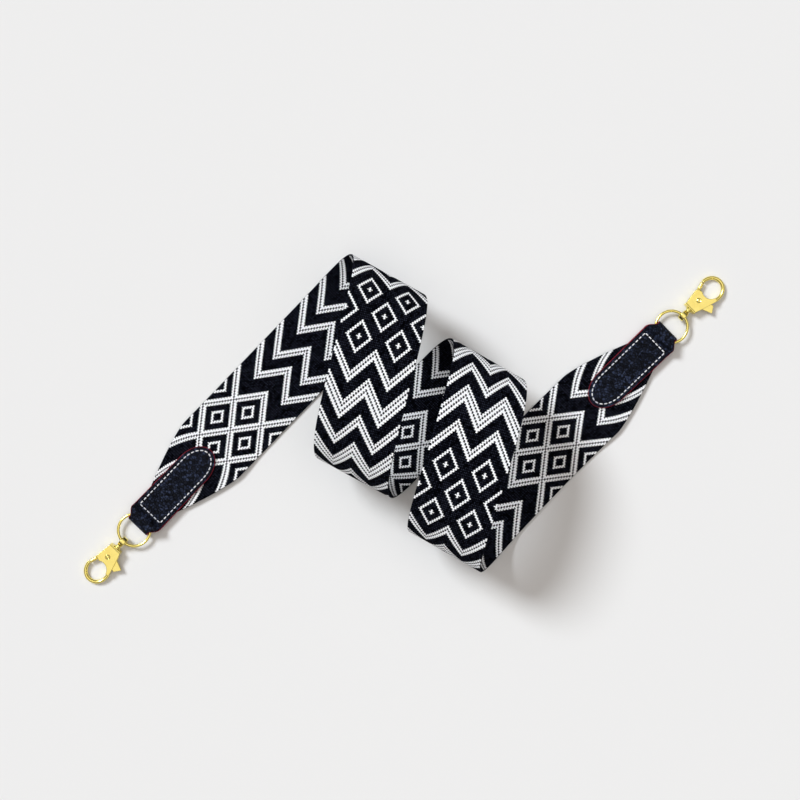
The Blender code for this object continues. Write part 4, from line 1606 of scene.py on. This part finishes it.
        combine(piece, turned(lathe("bore", bore, 36), Matrix.Rotation(math.pi / 2, 4, "Y")), "DIFFERENCE")
        hole = self.rod("pin_hole", self.pin + self.running_gap, deep, (*self.pivot, 0), "Z")
        combine(piece, hole, "DIFFERENCE")
        cast(piece, self.grain, self.cast_rounds[1])
        turned(piece, clasp_frame(self.end))
        return finish_piece(piece, self.named("hook"), self.named("hook_body"), wardrobe.gold)

    def grooves(self) -> list[list[Vector]]:
        """The room for the spring's two legs in the lever, about its pin, swept as far as the gate opens.

        Returns:
            The corners of each groove about the pin.
        """
        (low, high), (back, ahead) = self.groove_sides, self.groove_ends
        swept = Matrix.Rotation(math.radians(self.opening), 2)
        root, crown = Vector((0, low)), Vector((0, high))
        back_low, back_high = Vector((back, low)), Vector((back, high))
        ahead_low, ahead_high = Vector((ahead, low)), Vector((ahead, high))
        return [[swept @ back_low, root, crown, back_high, swept @ back_high],
                [root, ahead_low, ahead_high, swept @ ahead_high, swept @ crown]]

    def lever(self, wardrobe: Wardrobe) -> bpy.types.Object:
        """Make the lever: the hub round the pin, the gate on one side and the thumb piece on the other.

        Args:
            wardrobe: The finishes.

        Returns:
            The piece.
        """
        thick = self.lever_half
        lean = math.radians(self.gate_lean)
        along = Vector((math.cos(lean), math.sin(lean)))
        across = Vector((-along.y, along.x)) * self.gate_width / 2
        root, pivot = Vector(self.gate_root), Vector(self.pivot)
        tip = root + along * self.gate_length
        reach = 0.9 * self.hub
        arm = [pivot + Vector((reach, 0)), root - across, root + across, pivot + Vector((0, reach))]
        gate = [root - across, tip - across, tip + across, root + across]
        piece = self.rod(self.named("gate"), self.hub, thick, (*self.pivot, 0), "Z")
        flush = thick - self.step
        combine(piece, trimmed_plate("arm", [tuple(p) for p in arm], -flush, flush), "UNION")
        flush -= self.step
        combine(piece, trimmed_plate("thumb", self.thumb, -flush, flush), "UNION")
        bar = trimmed_plate("bar", [tuple(p) for p in gate], -self.gate_half, self.gate_half)
        with editing(bar, "EDGE"):
            pick(bar, "edges", lambda middle: abs(middle.z) > self.gate_half / 2)
            bpy.ops.mesh.bevel(offset=self.gate_round, segments=5, affect="EDGES")
        combine(piece, bar, "UNION")
        hole = self.rod("hole", self.pin + self.running_gap, 2 * thick, (*self.pivot, 0), "Z")
        combine(piece, hole, "DIFFERENCE")
        pocket = self.rod("pocket", self.pocket, thick, (*self.pivot, thick - self.pocket_floor), "Z")
        combine(piece, pocket, "DIFFERENCE")
        for groove in self.grooves():
            outline = [tuple(pivot + point) for point in groove]
            combine(piece, trimmed_plate("groove", outline, -self.pocket_floor, 2 * thick), "DIFFERENCE")
        cast(piece, self.grain * self.fine_grain[1], self.cast_rounds[2])
        turned(piece, clasp_frame(self.end))
        return finish_piece(piece, self.named("lever"), self.named("gate_lever"), wardrobe.gold)

    def rivet(self, wardrobe: Wardrobe) -> bpy.types.Object:
        """Make the rivet pin, whose heads have a turned groove round a low dome.

        Args:
            wardrobe: The finishes.

        Returns:
            The piece.
        """
        face = self.body_half + self.running_gap
        rise = self.pin_head_height
        head = self.pin_head
        half = [(face + rise * up, head * out) for up, out in self.head_steps] + [(face, self.pin)]
        profile = [(-place, radius) for place, radius in half] + half[::-1]
        piece = turned(lathe(self.named("rivet"), profile, 48), Matrix.Translation((*self.pivot, 0)))
        piece.data.shade_smooth()
        turned(piece, clasp_frame(self.end))
        return finish_piece(piece, self.named("hook"), self.named("rivet_pin"), wardrobe.gold)

    def spring(self, wardrobe: Wardrobe) -> bpy.types.Object:
        """Dress the gate spring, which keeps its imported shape.

        Args:
            wardrobe: The finishes.

        Returns:
            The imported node.
        """
        node = frame["nodes"][self.named("gate_spring")]
        node.data.materials.clear()
        node.data.materials.append(wardrobe.steel)
        node.data.shade_smooth()
        log.info("%s keeps its packed shape", node.name)
        return node

    def build(self, wardrobe: Wardrobe) -> list[bpy.types.Object]:
        """Make the clasp's pieces.

        Args:
            wardrobe: The finishes.

        Returns:
            The pieces.
        """
        return [self.eye(wardrobe), self.hook(wardrobe), self.lever(wardrobe), self.rivet(wardrobe),
                self.spring(wardrobe)]


@dataclass
class Studio:
    """The pale table, the soft light from the upper left and the camera straight above."""

    camera_place: tuple[float, float, float] = (-0.00273, 0.01337, 1.074)
    lens: float = 75.05
    sensor: float = 36.0
    floor_size: float = 60.0
    floor_height: float = -0.0001
    pale: Colour = linear(233, 233, 233)
    sun_strength: float = 2.69
    sun_colour: tuple[float, float, float] = (0.917, 0.962, 1.0)
    sun_angle: float = 19.0
    sun_from: tuple[float, float, float] = (-0.67, 0.57, 0.84)
    sky_strength: float = 1.35
    sky_colour: tuple[float, float, float] = (1.0, 0.94, 0.89)
    sky: tuple[tuple[float, float], ...] = (
        (0.0, 0.634), (0.05, 0.61), (0.09, 0.20), (0.17, 0.04), (0.52, 0.06), (0.74, 0.36), (0.92, 0.74),
        (1.0, 1.0))
    haze_top: float = 0.06

    def floor(self) -> None:
        """Lay the table."""
        deselect_all()
        bpy.ops.mesh.primitive_plane_add(size=self.floor_size, location=(0, 0, self.floor_height))
        table = started("table")
        made = Shading("pale_table")
        made.shader.inputs["Base Color"].default_value = self.pale
        made.shader.inputs["Roughness"].default_value = 1.0
        made.shader.inputs["Specular IOR Level"].default_value = 0.0
        table.data.materials.append(made.material)

    def sky_tone(self, height: float, level: float) -> Colour:
        """The sky's colour at a height: warm above, and neutral as the table in the haze at the horizon."""
        red, green, blue = (1.0, 1.0, 1.0) if height < self.haze_top else self.sky_colour
        return (level * red, level * green, level * blue, 1.0)

    def light(self) -> None:
        """Set the sky's soft light and one broad lamp."""
        world = bpy.data.worlds.new("studio")
        bpy.context.scene.world = world
        world.use_nodes = True
        tree = world.node_tree
        place = tree.nodes.new("ShaderNodeTexCoord")
        split = tree.nodes.new("ShaderNodeSeparateXYZ")
        ramp = tree.nodes.new("ShaderNodeValToRGB")
        tree.links.new(place.outputs["Generated"], split.inputs[0])
        tree.links.new(split.outputs["Z"], ramp.inputs["Fac"])
        stops = ramp.color_ramp.elements
        for stop, (height, level) in zip((stops[0], stops[1]), (self.sky[0], self.sky[-1])):
            stop.position, stop.color = height, self.sky_tone(height, level)
        for height, level in self.sky[1:-1]:
            stops.new(height).color = self.sky_tone(height, level)
        tree.links.new(ramp.outputs["Color"], tree.nodes["Background"].inputs["Color"])
        tree.nodes["Background"].inputs["Strength"].default_value = self.sky_strength
        lamp = bpy.data.lights.new("broad_lamp", "SUN")
        lamp.energy = self.sun_strength
        lamp.color = self.sun_colour
        lamp.angle = math.radians(self.sun_angle)
        sun = bpy.data.objects.new("broad_lamp", lamp)
        sun.rotation_euler = Vector(self.sun_from).to_track_quat("Z", "Y").to_euler()
        bpy.context.scene.collection.objects.link(sun)

    def camera(self) -> None:
        """Set the camera above the strap, with the picture's top towards +Y."""
        data = bpy.data.cameras.new("camera")
        data.lens, data.sensor_width = self.lens, self.sensor
        camera = bpy.data.objects.new("camera", data)
        camera.location = self.camera_place
        bpy.context.scene.collection.objects.link(camera)
        bpy.context.scene.camera = camera

    def build(self) -> None:
        """Set the table, the light and the camera."""
        bpy.context.scene.view_settings.view_transform = "Standard"
        self.floor()
        self.light()
        self.camera()


def main() -> None:
    """Build the strap's looks, one sub-assembly after another."""
    logging.basicConfig(level=logging.INFO, format="%(message)s")
    Studio().build()
    wardrobe = Wardrobe()
    Webbing().build(wardrobe)
    for end in End:
        tab = LeatherTab(end)
        tab.build(wardrobe)
        tab.stitches(wardrobe)
        RoundRing(end).build(wardrobe)
        SwivelClasp(end).build(wardrobe)


if __name__ == "__main__":
    main()
